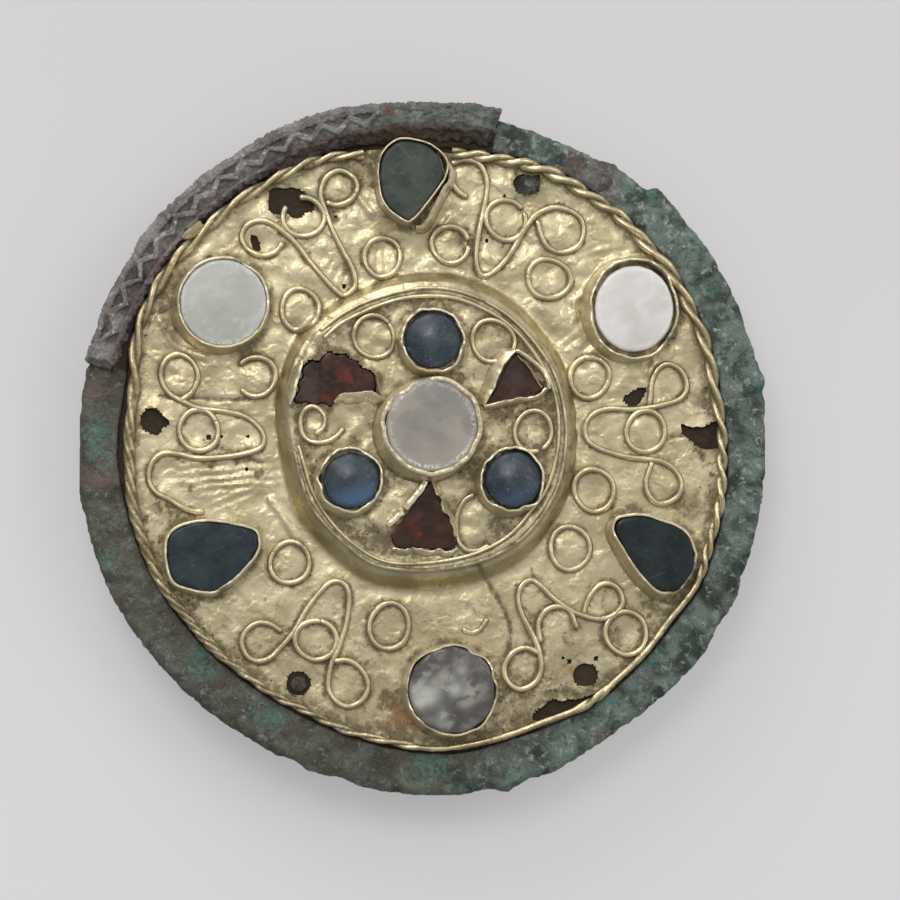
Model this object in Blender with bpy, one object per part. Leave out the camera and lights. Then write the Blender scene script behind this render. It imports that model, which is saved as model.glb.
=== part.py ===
"""Disc brooch: a bronze plate that carries a gold sheet with a boss, wire filigree and set stones.

Lengths are metres, +Z points out of the front and +Y is up in the photograph.
The brooch lies on its back fittings, so z = 0 is what it lies on.
A place on the front is named by its pixel in the 900 x 900 photograph. at(), field() and on_boss()
turn it into metres, so that the front follows the plate, the sheet and the boss when they change.
"""
import math

import bpy
import bmesh
from mathutils import Vector

# Driving dimensions
PLATE_DIAMETER = 0.0600
PLATE_THICKNESS = 0.0020
PLATE_CHAMFER = 0.0004
RIM_WIDTH = 0.00315
RECESS_DEPTH = 0.0004
SHEET_THICKNESS = 0.0003
SHEET_EDGE_GAP = 0.00055
BOSS_DIAMETER = 0.0244
BOSS_HEIGHT = 0.0020
COLLAR_SPREAD = 0.0007
WIRE_WIDTH = 0.0006
WIRE_HEIGHT = 0.0005
ROPE_WIDTH = 0.00095
ROPE_THICKNESS = 0.00035
ROPE_OFFSET = 0.0003
ROPE_TURN = 0.0050
STRIP_THICKNESS = 0.0007
STRIP_WIDTH = 0.0025
STRIP_HEIGHT = 0.0011
STRIP_SLOPE = 0.0008
STRIP_SKIRT = 0.0014
ZIGZAG_PITCH = 0.0025
ZIGZAG_DEPTH = 0.00022
ZIGZAG_MARGIN = 0.0003
BEZEL_WALL = 0.00025
ROUND_STONE_DIAMETER = 0.0074
CENTRE_STONE_DIAMETER = 0.0079
CABOCHON_DIAMETER = 0.0050
OUTER_BEZEL_HEIGHT = 0.0021
CENTRE_BEZEL_HEIGHT = 0.0023
CABOCHON_BEZEL_HEIGHT = 0.0014
CABOCHON_DOME = 0.0007
CELL_HEIGHT = 0.0010
STONE_CHAMFER = 0.0003
STONE_DROP = 0.0002
RIVET_DIAMETER = 0.0014
RIVET_HOLE_DIAMETER = 0.0023
FITTING_DEPTH = 0.0044
FITTING_FOOT = 0.0009
FITTING_INSET = 0.0110
LUG_THICKNESS = 0.0013
LUG_LENGTH = 0.0046
LUG_GAP = 0.0052
LUG_HOLE_DIAMETER = 0.0014
CATCH_LENGTH = 0.0060
CATCH_WALL = 0.0009
CATCH_HOOK = 0.0032
CATCH_LIP = 0.0018
SEAT_GAP = 0.0001
STONE_GAP = 0.0001
SETTING_GAP = 0.0002

# What the photograph shows, in its pixels
PLATE_PX = (424, 451)
SHEET_PX = (428, 447)
BOSS_PX = (430, 428)
PLATE_RADIUS_PX = 342
SHEET_RADIUS_PX = 300
FOOT_RADIUS_PX = 147
CENTRE_BEZEL_PX = 49.5
BOSS_WIRE_PX = 131.5

# The plate's corroded edge, clockwise from the strip's broken right end
PLATE_EDGE_PX = [
    (502, 122), (525, 129), (550, 138), (575, 149), (600, 160), (616, 165), (632, 179), (646, 190),
    (658, 187), (668, 199), (690, 228), (703, 241), (722, 275), (736, 300), (746, 330), (754, 351),
    (759, 369), (767, 379), (762, 391), (767, 405), (765, 418), (769, 450), (765, 476), (761, 515),
    (756, 536), (748, 565), (742, 580), (740, 595), (717, 630), (711, 647), (685, 677), (650, 708),
    (620, 731), (600, 744), (580, 757), (552, 774), (530, 779), (508, 792), (490, 789), (462, 795),
    (416, 795), (377, 790), (363, 788), (345, 779), (307, 770), (297, 761), (275, 754), (250, 739),
    (217, 717), (190, 696), (160, 665), (136, 635), (115, 602), (101, 572), (91, 540), (84, 512),
    (80, 498), (79, 475), (79, 440), (81, 405), (85, 372),
]
COVERED_EDGE_STEPS = 16
PLATE_TAPER = 0.0003

# The punched strip that survives on the upper left of the rim
STRIP_START, STRIP_END = math.radians(164.6), math.radians(77.3)
ZIGZAG_START, ZIGZAG_END = math.radians(154), math.radians(103)

# Holes in the sheet: where its rivets sat, and where it is torn
RIVET_HOLES_PX = [(527, 182), (299, 683), (586, 675)]
RIVET_STUB_PX = (299, 683)
TEARS_PX = {
    "upper": [(270, 190), (283, 186), (300, 190), (313, 203), (314, 210), (298, 219), (284, 214), (272, 210)],
    "left": [(146, 411), (157, 411), (169, 423), (158, 435), (143, 427)],
    "right": [(683, 432), (694, 425), (718, 421), (719, 445), (701, 446)],
    "curl": [(626, 398), (640, 389), (646, 390), (639, 402), (630, 403)],
    "slot": [(249, 238), (258, 238), (259, 249), (251, 249)],
}
BOSS_TEAR_PX = [(302, 378), (308, 366), (319, 366), (322, 384), (318, 396), (301, 396)]

# Round settings, each by its direction from the sheet's centre and its gap to the rope
ROUND_SETTINGS = {
    "upper_left": (145.2, 0.0002),
    "upper_right": (33.9, 0.0004),
    "bottom": (-84.6, 0.0007),
}
TEARDROPS_PX = {
    "top": [(392, 146), (405, 142), (428, 148), (440, 163), (442, 175), (436, 187), (425, 203),
            (412, 218), (404, 220), (386, 205), (380, 185), (381, 161)],
    "lower_left": [(171, 538), (185, 528), (210, 524), (250, 531), (257, 541), (255, 551), (240, 572),
                   (218, 589), (208, 591), (185, 586), (174, 578), (169, 556)],
    "lower_right": [(616, 524), (626, 519), (642, 518), (660, 523), (676, 529), (688, 541), (691, 566),
                    (678, 587), (668, 591), (655, 588), (636, 568), (618, 537)],
}

# The boss's cabochons, each by its direction and its share of the way from the centre setting to the
# boss wire, and the cells of its three garnets
CABOCHON_PLACES = {"top": (89.3, 0.12), "left": (-146.5, 1.0), "right": (-33.2, 1.0)}
CELLS_PX = {
    "left": [(380, 400), (340, 404), (314, 403), (298, 401), (301, 384), (308, 366), (333, 354), (350, 357),
             (366, 370), (378, 388)],
    "right": [(487, 405), (498, 384), (506, 367), (517, 356), (529, 367), (544, 386), (533, 395),
              (510, 401)],
    "bottom": [(429, 484), (437, 503), (450, 526), (451, 544), (425, 547), (399, 545), (391, 529),
               (406, 513), (421, 496)],
}

# Scrolls: each one wire, with the ringlets that touch it
SCROLLS_PX = {
    "upper_left": [(281, 245), (274, 253), (262, 256), (248, 250), (241, 238), (246, 226), (258, 221),
                   (270, 223), (283, 232), (296, 244), (310, 262), (325, 280), (335, 290), (344, 296),
                   (352, 291), (355, 283), (352, 268), (342, 250), (333, 232), (326, 213), (320, 195),
                   (325, 178), (339, 170), (352, 176), (357, 188), (350, 200), (336, 205)],
    "upper_right": [(464, 194), (456, 187), (453, 176), (455, 166), (465, 161), (477, 163), (484, 170),
                    (487, 182), (486, 195), (482, 215), (478, 235), (476, 255), (477, 267), (481, 274),
                    (488, 275), (497, 269), (507, 258), (515, 245), (525, 228), (535, 215), (545, 209),
                    (556, 206), (570, 209), (581, 217), (584, 230), (580, 243), (570, 250), (558, 251),
                    (548, 245), (543, 233)],
    "right": [(651, 395), (652, 384), (655, 374), (661, 366), (670, 363), (681, 369), (687, 380),
              (687, 390), (680, 399), (665, 404), (650, 407), (630, 409), (612, 408), (597, 412),
              (588, 420), (585, 430), (588, 440), (597, 447), (610, 452), (630, 457), (650, 459),
              (665, 462), (677, 472), (682, 484), (679, 495), (670, 502), (658, 503), (649, 495),
              (646, 484), (649, 474)],
    "lower_right": [(527, 650), (519, 650), (510, 655), (504, 668), (508, 682), (520, 689), (534, 683),
                    (541, 668), (538, 648), (530, 630), (522, 615), (518, 600), (520, 588), (525, 582),
                    (532, 580), (540, 585), (550, 595), (560, 603), (572, 611), (585, 616), (598, 619),
                    (612, 616), (622, 605), (621, 593), (612, 584), (600, 585), (591, 592), (587, 602)],
    "lower_left": [(280, 630), (270, 624), (258, 623), (247, 630), (242, 642), (247, 655), (258, 661),
                   (270, 658), (280, 648), (290, 637), (298, 625), (305, 612), (315, 598), (325, 587),
                   (333, 582), (341, 582), (347, 588), (349, 600), (347, 620), (343, 635), (338, 650),
                   (332, 662), (329, 675), (329, 690), (338, 702), (350, 706), (362, 700), (368, 688),
                   (365, 675), (357, 665), (349, 659)],
    "left": [(192, 389), (198, 376), (193, 363), (180, 355), (167, 360), (161, 372), (163, 385),
             (172, 396), (185, 403), (200, 409), (225, 412), (245, 417), (259, 428), (264, 439),
             (261, 448), (250, 453), (230, 457), (200, 459), (180, 455), (165, 454), (155, 460),
             (150, 470), (150, 483), (158, 494), (170, 500), (183, 508), (195, 512), (202, 512)],
}
SCROLL_RINGLETS_PX = {
    "upper_left": [(303, 217, 20, 20)],
    "upper_right": [(506, 219, 19.5, 19.5)],
    "right": [(646, 431, 20, 20)],
    "lower_right": [(558, 626, 19, 20), (627, 634, 20, 20)],
    "lower_left": [(316, 640, 20, 20)],
    "left": [(199, 431, 19.5, 19.5)],
}

# Loose ringlets, as centre and half width and height
FIELD_RINGLETS_PX = {
    "upper_left_inner": (300, 310, 19, 19),
    "top_left": (381, 257, 18, 18),
    "top_right": (446, 244, 18.5, 18.5),
    "upper_right_inner": (549, 281, 20.5, 19),
    "right_upper": (592, 377, 19.5, 19.5),
    "right_lower": (594, 490, 20, 20),
    "lower_right_inner": (570, 548, 20.5, 20.5),
    "bottom_left": (389, 626, 20, 22.5),
    "lower_left_inner": (290, 563, 19, 19),
    "left_upper": (256, 378, 20, 20),
}
BOSS_RINGLETS_PX = {
    "boss_ringlet_top_left": (372, 337, 19, 20),
    "boss_ringlet_top_right": (493, 341, 20, 20),
    "boss_ringlet_right": (531, 428, 18, 19.5),
    "boss_ringlet_left": (314, 426, 12.5, 15),
}
BOSS_CURL_PX = [(470, 498), (462, 503), (457, 513), (456, 526), (459, 539), (467, 546), (478, 546)]
FRAGMENT_PX = [(463, 624), (467, 630), (475, 632), (483, 628), (486, 621)]

# Shares of a wire's, a dome's or a lug's own size
TWIN_SPREAD, TWIN_GROOVE = 0.5, 0.6
DOME_STEPS = (0, 0.45, 0.8)
LUG_SHOULDER, LUG_TOE = 0.8, 0.4

# How finely round things are cut
ROUND_SIDES = 18
SMALL_SIDES = 14
RINGLET_SIDES = 12
SHEET_SIDES = 54
CURVE_STEPS = 8
CURVE_SLACK_PX = 1.0
BOSS_WIRE_STEPS = 38
MITRE_LIMIT = 0.65
BOSS_WIRE_START, BOSS_WIRE_SPAN = math.radians(190), math.radians(309)
ROPE_START, ROPE_SPAN = math.radians(101.7), math.radians(341.9)
ROPE_STEPS_A_TURN = 5
HOLE_SIDES = 10
SHARP_ANGLE = math.radians(35)

# Sizes worked out from those above
PIXEL = PLATE_DIAMETER / (2 * PLATE_RADIUS_PX)
BACK_Z = FITTING_DEPTH
PLATE_TOP = BACK_Z + PLATE_THICKNESS
RECESS_FLOOR = PLATE_TOP - RECESS_DEPTH
RECESS_RADIUS = PLATE_DIAMETER / 2 - RIM_WIDTH
SHEET_RADIUS = RECESS_RADIUS - SHEET_EDGE_GAP
SHEET_BOTTOM = RECESS_FLOOR + SEAT_GAP
SHEET_TOP = SHEET_BOTTOM + SHEET_THICKNESS
FIELD_BASE = max(SHEET_TOP, PLATE_TOP) + SEAT_GAP
BOSS_RADIUS = BOSS_DIAMETER / 2
FOOT_RADIUS = BOSS_RADIUS + COLLAR_SPREAD
BOSS_TOP = SHEET_TOP + BOSS_HEIGHT
BOSS_BASE = BOSS_TOP + SEAT_GAP
BOSS_WIRE_RADIUS = BOSS_RADIUS - WIRE_WIDTH / 2 - SEAT_GAP
BOSS_INNER_RADIUS = BOSS_WIRE_RADIUS - WIRE_WIDTH / 2
ROPE_RADIUS = SHEET_RADIUS + ROPE_OFFSET
ROPE_INNER_RADIUS = ROPE_RADIUS - ROPE_WIDTH / 2


def at(px, py):
    """A pixel of the photograph in metres from the plate's centre."""
    return Vector(((px - PLATE_PX[0]) * PIXEL, (PLATE_PX[1] - py) * PIXEL))


SHEET_CENTRE = at(*SHEET_PX)
BOSS_CENTRE = at(*BOSS_PX)


def reach(start, direction, centre, radius):
    """How far a ray from start goes before it leaves the circle."""
    offset = start - centre
    along = offset.dot(direction)
    return -along + math.sqrt(along * along - offset.dot(offset) + radius * radius)


def from_boss(px, py):
    """A pixel's direction from the boss's centre, and its distance in pixels."""
    offset = Vector((px - BOSS_PX[0], BOSS_PX[1] - py))
    return offset.normalized(), offset.length


def field(px, py):
    """A pixel on the gold field, kept at its share of the way from the boss's foot to the sheet's edge."""
    direction, distance = from_boss(px, py)
    shift_px = Vector((BOSS_PX[0] - SHEET_PX[0], SHEET_PX[1] - BOSS_PX[1]))
    edge_px = reach(shift_px, direction, Vector((0, 0)), SHEET_RADIUS_PX)
    share = (distance - FOOT_RADIUS_PX) / (edge_px - FOOT_RADIUS_PX)
    edge = reach(BOSS_CENTRE, direction, SHEET_CENTRE, SHEET_RADIUS)
    return BOSS_CENTRE + direction * (FOOT_RADIUS + share * (edge - FOOT_RADIUS))


def on_boss(px, py):
    """A pixel on the boss, kept at its share of the way from the centre setting to the boss's wire."""
    direction, distance = from_boss(px, py)
    share = (distance - CENTRE_BEZEL_PX) / (BOSS_WIRE_PX - CENTRE_BEZEL_PX)
    inner = bezel_radius(CENTRE_STONE_DIAMETER)
    return BOSS_CENTRE + direction * (inner + share * (BOSS_INNER_RADIUS - inner))


def bezel_radius(stone_diameter):
    return stone_diameter / 2 + STONE_GAP + BEZEL_WALL


def polar(centre, radius, angle):
    return Vector((centre[0] + radius * math.cos(angle), centre[1] + radius * math.sin(angle)))


def circle(centre, radius, sides):
    return [polar(centre, radius, 2 * math.pi * i / sides) for i in range(sides)]


def material(name, colour, roughness, metallic):
    mat = bpy.data.materials.new(name)
    mat.use_nodes = True
    shader = mat.node_tree.nodes["Principled BSDF"]
    shader.inputs["Base Color"].default_value = (*colour, 1)
    shader.inputs["Roughness"].default_value = roughness
    shader.inputs["Metallic"].default_value = metallic
    return mat


def add_object(name, shape, mat, smooth=True):
    """An object from a bmesh, with its normals facing out."""
    bmesh.ops.recalc_face_normals(shape, faces=shape.faces)
    mesh = bpy.data.meshes.new(name)
    shape.to_mesh(mesh)
    shape.free()
    mesh.materials.append(mat)
    if smooth:
        mesh.shade_smooth()
        mesh.set_sharp_from_angle(angle=SHARP_ANGLE)
    made = bpy.data.objects.new(name, mesh)
    bpy.context.scene.collection.objects.link(made)
    return made


def loft(rings, joined=False, twisted=False):
    """A closed body through rings of as many points each: its ends capped, or the last joined to the first.

    Where the rings turn the way their points run, twisted cuts each side along the diagonal that bulges.
    """
    shape = bmesh.new()
    made = [[shape.verts.new(point) for point in ring] for ring in rings]
    pairs = list(zip(made, made[1:]))
    if joined:
        pairs.append((made[-1], made[0]))
    else:
        shape.faces.new(made[0])
        shape.faces.new(made[-1])
    for lower, upper in pairs:
        for i in range(len(lower)):
            j = (i + 1) % len(lower)
            if twisted:
                shape.faces.new((lower[i], lower[j], upper[i]))
                shape.faces.new((lower[j], upper[j], upper[i]))
            else:
                shape.faces.new((lower[i], lower[j], upper[j], upper[i]))
    return shape


def level(points, z):
    return [(point[0], point[1], z) for point in points]


def prism(points, low, high):
    return loft([level(points, low), level(points, high)])


def offset_outline(points, distance):
    """A closed outline moved outwards along its corners' normals. The outline runs either way round."""
    area = sum(a[0] * b[1] - b[0] * a[1] for a, b in zip(points, points[1:] + points[:1]))
    side = 1 if area > 0 else -1
    moved = []
    for i, point in enumerate(points):
        before = (point - points[i - 1]).normalized()
        after = (points[(i + 1) % len(points)] - point).normalized()
        along = (before + after).normalized()
        normal = Vector((along[1], -along[0])) * side
        moved.append(point + normal * distance / max(MITRE_LIMIT, before.dot(along)))
    return moved


def smooth_path(points, steps):
    """A smooth curve through an open row of points, as a Catmull-Rom spline."""
    ends = [points[0] * 2 - points[1], *points, points[-1] * 2 - points[-2]]
    path = []
    for p0, p1, p2, p3 in zip(ends, ends[1:], ends[2:], ends[3:]):
        for step in range(steps):
            t = step / steps
            path.append(0.5 * (2 * p1 + (p2 - p0) * t + (2 * p0 - 5 * p1 + 4 * p2 - p3) * t * t
                               + (3 * p1 - p0 - 3 * p2 + p3) * t ** 3))
    return path + [points[-1]]


def thinned(path, slack):
    """The fewest points of a path that keep it within slack of its own shape."""
    first, last = path[0], path[-1]
    chord = last - first
    if chord.length > slack:
        strays = [abs(chord[0] * (p - first)[1] - chord[1] * (p - first)[0]) / chord.length for p in path]
    else:
        strays = [(p - first).length for p in path]
    worst = max(range(len(path)), key=strays.__getitem__)
    if strays[worst] <= slack or len(path) < 3:
        return [first, last]
    return thinned(path[:worst + 1], slack)[:-1] + thinned(path[worst:], slack)


def wire_sections(path, base, closed):
    """The wire's cross-sections, flat below and ridged above, square to its path."""
    sections = []
    for i, point in enumerate(path):
        before = path[i - 1] if i or closed else None
        after = path[(i + 1) % len(path)] if i + 1 < len(path) or closed else None
        come = (point - before).normalized() if before else (after - point).normalized()
        go = (after - point).normalized() if after else come
        along = (come + go).normalized()
        reach_out = WIRE_WIDTH / 2 / max(MITRE_LIMIT, along.dot(come))
        side = Vector((-along[1], along[0])) * reach_out
        left, right = point + side, point - side
        sections.append([(*left, base), (*right, base), (*point, base + WIRE_HEIGHT)])
    return sections


def wire(path, base, closed=False):
    return loft(wire_sections(path, base, closed), joined=closed)


def oval(place, spec):
    """The path of a ringlet, from its centre and half sizes in pixels."""
    px, py, half_width, half_height = spec
    turns = [2 * math.pi * i / RINGLET_SIDES for i in range(RINGLET_SIDES)]
    return [place(px + half_width * math.cos(t), py - half_height * math.sin(t)) for t in turns]


def curve(place, points_px):
    return thinned(smooth_path([place(*p) for p in points_px], CURVE_STEPS), CURVE_SLACK_PX * PIXEL)


def hidden(made):
    made.hide_render = True
    made.display_type = "WIRE"
    return made


def combine(target, other, operation):
    """A Boolean of two objects, the second kept as a hidden helper."""
    modifier = target.modifiers.new(other.name, "BOOLEAN")
    modifier.operation = operation
    modifier.solver = "EXACT"
    modifier.object = hidden(other)


def plate_outline():
    """The plate's edge: as corroded where it is bare, and round under the strip."""
    edge = [at(*p) for p in PLATE_EDGE_PX]
    last = math.atan2(edge[-1][1], edge[-1][0]) % (2 * math.pi)
    first = math.atan2(edge[0][1], edge[0][0])
    radius = PLATE_DIAMETER / 2 - PLATE_TAPER
    for i in range(1, COVERED_EDGE_STEPS):
        edge.append(polar((0, 0), radius, last + (first - last) * i / COVERED_EDGE_STEPS))
    return edge


def back_plate(bronze):
    edge = plate_outline()
    inner = [p.normalized() * (p.length - PLATE_CHAMFER) for p in edge]
    recess = [p.normalized() * RECESS_RADIUS for p in edge]
    shape = loft([
        level(inner, BACK_Z),
        level(edge, BACK_Z + PLATE_CHAMFER),
        level(edge, PLATE_TOP - PLATE_CHAMFER),
        level(inner, PLATE_TOP),
        level(recess, PLATE_TOP),
        level(recess, RECESS_FLOOR),
    ])
    add_object("back_plate", shape, bronze)


def rim_strip(bronze):
    """A strip folded over the plate's edge: a skirt outside it and a sloping side towards the gold.

    Two rows of sunk triangles leave a zigzag between them, whose crest swings from side to side.
    """
    inside = PLATE_DIAMETER / 2 + SEAT_GAP
    outside = inside + STRIP_THICKNESS
    base = PLATE_TOP + SEAT_GAP
    top = base + STRIP_HEIGHT
    crest = outside - STRIP_WIDTH
    high, low = outside - STRIP_THICKNESS, crest + ZIGZAG_MARGIN
    steps = round((STRIP_START - STRIP_END) * inside / (ZIGZAG_PITCH / 2))
    sections = []
    for i in range(steps + 1):
        angle = STRIP_START + (STRIP_END - STRIP_START) * i / steps
        sunk = ZIGZAG_DEPTH if ZIGZAG_END < angle < ZIGZAG_START else 0
        ridge, side = (high, -ZIGZAG_MARGIN) if i % 2 else (low, ZIGZAG_MARGIN)
        beside = sorted((ridge + side, high + low - ridge), reverse=True)
        between = [(beside[0], top - sunk), (beside[1], top - sunk)]
        between.insert(0 if i % 2 else 2, (ridge, top))
        profile = [
            (inside, PLATE_TOP - STRIP_SKIRT), (outside, PLATE_TOP - STRIP_SKIRT),
            (outside, top - STRIP_THICKNESS / 2), (outside - STRIP_THICKNESS / 2, top),
            *between,
            (crest, top), (crest - STRIP_SLOPE, base + SEAT_GAP), (crest - STRIP_SLOPE, base), (inside, base),
        ]
        sections.append([(*polar((0, 0), r, angle), z) for r, z in profile])
    add_object("rim_strip", loft(sections), bronze)


def gold_sheet(gold):
    """A thin sheet with its boss raised in it, hollow below as it was beaten up from behind."""
    bottom, top = SHEET_BOTTOM, SHEET_TOP
    rings = [
        (BOSS_CENTRE, BOSS_RADIUS - SHEET_THICKNESS, bottom + BOSS_HEIGHT),
        (BOSS_CENTRE, FOOT_RADIUS - SHEET_THICKNESS, bottom),
        (SHEET_CENTRE, SHEET_RADIUS, bottom),
        (SHEET_CENTRE, SHEET_RADIUS, top),
        (BOSS_CENTRE, FOOT_RADIUS, top),
        (BOSS_CENTRE, BOSS_RADIUS, BOSS_TOP - SEAT_GAP),
        (BOSS_CENTRE, BOSS_RADIUS - SEAT_GAP, BOSS_TOP),
    ]
    sheet = add_object("gold_sheet", loft([level(circle(c, r, SHEET_SIDES), z) for c, r, z in rings]), gold)
    below, above = SHEET_BOTTOM - SHEET_THICKNESS, SHEET_TOP + SHEET_THICKNESS
    for i, pixel in enumerate(RIVET_HOLES_PX):
        cutter = prism(circle(field(*pixel), RIVET_HOLE_DIAMETER / 2, HOLE_SIDES), below, above)
        combine(sheet, add_object(f"cut_rivet_hole_{i}", cutter, gold, False), "DIFFERENCE")
    for name, tear in TEARS_PX.items():
        cutter = prism([field(*p) for p in tear], below, above)
        combine(sheet, add_object(f"cut_tear_{name}", cutter, gold, False), "DIFFERENCE")
    cutter = prism([on_boss(*p) for p in BOSS_TEAR_PX], BOSS_TOP - 2 * SHEET_THICKNESS, BOSS_TOP + SEAT_GAP)
    combine(sheet, add_object("cut_boss_tear", cutter, gold, False), "DIFFERENCE")


def edge_rope(gold):
    """A flat strip of gold twisted on itself, laid round the sheet's edge and broken at the top setting."""
    turns = round(ROPE_RADIUS * ROPE_SPAN / ROPE_TURN)
    steps = turns * ROPE_STEPS_A_TURN
    middle = FIELD_BASE + ROPE_WIDTH / 2
    quarters = ((-1, -1), (1, -1), (1, 1), (-1, 1))
    diagonals = [Vector((sx * ROPE_WIDTH, sy * ROPE_THICKNESS)).normalized() for sx, sy in quarters]
    corners = [diagonal * ROPE_WIDTH / 2 for diagonal in diagonals]
    sections = []
    for i in range(steps + 1):
        angle = ROPE_START + ROPE_SPAN * i / steps
        twist = 2 * math.pi * turns * i / steps
        section = []
        for u, v in corners:
            out = u * math.cos(twist) - v * math.sin(twist)
            up = u * math.sin(twist) + v * math.cos(twist)
            section.append((*polar(SHEET_CENTRE, ROPE_RADIUS + out, angle), middle + up))
        sections.append(section)
    add_object("edge_rope", loft(sections, twisted=True), gold)


def boss_wire(gold):
    """The twin wire round the boss's shoulder, lost from its left side."""
    half = WIRE_WIDTH / 2
    crest, groove = half * TWIN_SPREAD, WIRE_HEIGHT * TWIN_GROOVE
    profile = [(-half, 0), (half, 0), (crest, WIRE_HEIGHT), (0, groove), (-crest, WIRE_HEIGHT)]
    sections = []
    for i in range(BOSS_WIRE_STEPS + 1):
        angle = BOSS_WIRE_START + BOSS_WIRE_SPAN * i / BOSS_WIRE_STEPS
        section = [(*polar(BOSS_CENTRE, BOSS_WIRE_RADIUS + r, angle), BOSS_BASE + z) for r, z in profile]
        sections.append(section)
    add_object("boss_wire", loft(sections), gold)


def bezel(name, stone_outline, base, height, gold):
    """A strip of gold on edge round a stone."""
    inner = offset_outline(stone_outline, STONE_GAP)
    outer = offset_outline(stone_outline, STONE_GAP + BEZEL_WALL)
    sections = []
    for a, b in zip(inner, outer):
        sections.append([(*a, base), (*b, base), (*b, base + height), (*a, base + height)])
    add_object(name, loft(sections, joined=True), gold)


def flat_stone(name, outline, base, height, mat):
    """A slab with a flat table and a worn edge."""
    table = offset_outline(outline, -STONE_CHAMFER)
    top = base + height
    shape = loft([level(outline, base), level(outline, top - STONE_CHAMFER), level(table, top)])
    add_object(name, shape, mat)


def domed_stone(name, centre, size, base, sides, mat):
    """A cabochon: an upright side under a low dome. Its size is its diameter, its side and its dome."""
    diameter, side, dome = size
    rings = [level(circle(centre, diameter / 2, sides), base)]
    for share in DOME_STEPS:
        radius = diameter / 2 * math.cos(share * math.pi / 2)
        rings.append(level(circle(centre, radius, sides), base + side + dome * math.sin(share * math.pi / 2)))
    add_object(name, loft(rings), mat)


def outer_settings(gold, stones):
    radius = bezel_radius(ROUND_STONE_DIAMETER)
    outlines = {}
    for place, (direction, gap) in ROUND_SETTINGS.items():
        centre = polar(SHEET_CENTRE, ROPE_INNER_RADIUS - gap - radius, math.radians(direction))
        outlines[place] = circle(centre, ROUND_STONE_DIAMETER / 2, ROUND_SIDES)
    for place, points in TEARDROPS_PX.items():
        outlines[place] = [field(*p) for p in points]
    for place, outline in outlines.items():
        bezel(f"bezel_{place}", outline, FIELD_BASE, OUTER_BEZEL_HEIGHT, gold)
        flat_stone(f"stone_{place}", outline, FIELD_BASE, OUTER_BEZEL_HEIGHT - STONE_DROP, stones[place])


def boss_settings(gold, stones):
    """The high centre setting, three cabochons and three garnet cells."""
    outline = circle(BOSS_CENTRE, CENTRE_STONE_DIAMETER / 2, ROUND_SIDES)
    bezel("bezel_centre", outline, BOSS_BASE, CENTRE_BEZEL_HEIGHT, gold)
    flat_stone("stone_centre", outline, BOSS_BASE, CENTRE_BEZEL_HEIGHT, stones["centre"])
    radius = bezel_radius(CABOCHON_DIAMETER)
    near = bezel_radius(CENTRE_STONE_DIAMETER) + SETTING_GAP + radius
    far = BOSS_INNER_RADIUS - SETTING_GAP - radius
    for place, (direction, share) in CABOCHON_PLACES.items():
        centre = polar(BOSS_CENTRE, near + share * (far - near), math.radians(direction))
        outline = circle(centre, CABOCHON_DIAMETER / 2, SMALL_SIDES)
        bezel(f"cabochon_bezel_{place}", outline, BOSS_BASE, CABOCHON_BEZEL_HEIGHT, gold)
        side = CABOCHON_BEZEL_HEIGHT - STONE_DROP
        size = (CABOCHON_DIAMETER, side, CABOCHON_DOME)
        domed_stone(f"cabochon_{place}", centre, size, BOSS_BASE, SMALL_SIDES, stones["cabochon"])
    for place, points in CELLS_PX.items():
        outline = [on_boss(*p) for p in points]
        bezel(f"garnet_cell_{place}", outline, BOSS_BASE, CELL_HEIGHT, gold)
        flat_stone(f"garnet_{place}", outline, BOSS_BASE, CELL_HEIGHT - STONE_DROP, stones["garnet"])


def filigree(gold):
    """Scrolls with the ringlets soldered to them, and the ringlets that stand alone."""
    for place, points in SCROLLS_PX.items():
        scroll = add_object(f"scroll_{place}", wire(curve(field, points), FIELD_BASE), gold)
        for i, spec in enumerate(SCROLL_RINGLETS_PX[place]):
            ringlet = wire(oval(field, spec), FIELD_BASE, closed=True)
            combine(scroll, add_object(f"joined_ringlet_{place}_{i}", ringlet, gold), "UNION")
    for place, spec in FIELD_RINGLETS_PX.items():
        add_object(f"ringlet_{place}", wire(oval(field, spec), FIELD_BASE, closed=True), gold)
    for name, spec in BOSS_RINGLETS_PX.items():
        add_object(name, wire(oval(on_boss, spec), BOSS_BASE, closed=True), gold)
    add_object("boss_ringlet_open", wire(curve(on_boss, BOSS_CURL_PX), BOSS_BASE), gold)
    add_object("ringlet_fragment", wire(curve(field, FRAGMENT_PX), FIELD_BASE), gold)


def rivet_stub(bronze):
    """What is left of the one rivet that still fills its hole."""
    outline = circle(field(*RIVET_STUB_PX), RIVET_DIAMETER / 2, HOLE_SIDES)
    add_object("rivet_stub", prism(outline, SHEET_BOTTOM, SHEET_TOP), bronze)


def hinge_lugs(bronze):
    """Two pierced lugs near the top of the back, which held the pin's hinge."""
    y = PLATE_DIAMETER / 2 - FITTING_INSET
    top = BACK_Z - SEAT_GAP
    for side, name in ((-1, "hinge_lug_left"), (1, "hinge_lug_right")):
        near, far = side * LUG_GAP / 2, side * (LUG_GAP / 2 + LUG_THICKNESS)
        rim = LUG_LENGTH / 2
        outline = [(y - rim, top), (y + rim, top), (y + rim, top - FITTING_FOOT)]
        outline += [(y + rim * LUG_SHOULDER, FITTING_FOOT), (y + rim * LUG_TOE, 0)]
        outline += [(2 * y - a, z) for a, z in reversed(outline[2:])]
        lug = add_object(name, loft([[(x, a, z) for a, z in outline] for x in (near, far)]), bronze)
        hole = circle((y, BACK_Z / 2), LUG_HOLE_DIAMETER / 2, HOLE_SIDES)
        ends = (near - side * SEAT_GAP, far + side * SEAT_GAP)
        cutter = loft([[(x, a, z) for a, z in hole] for x in ends])
        combine(lug, add_object(f"cut_{name}", cutter, bronze, False), "DIFFERENCE")


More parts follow.
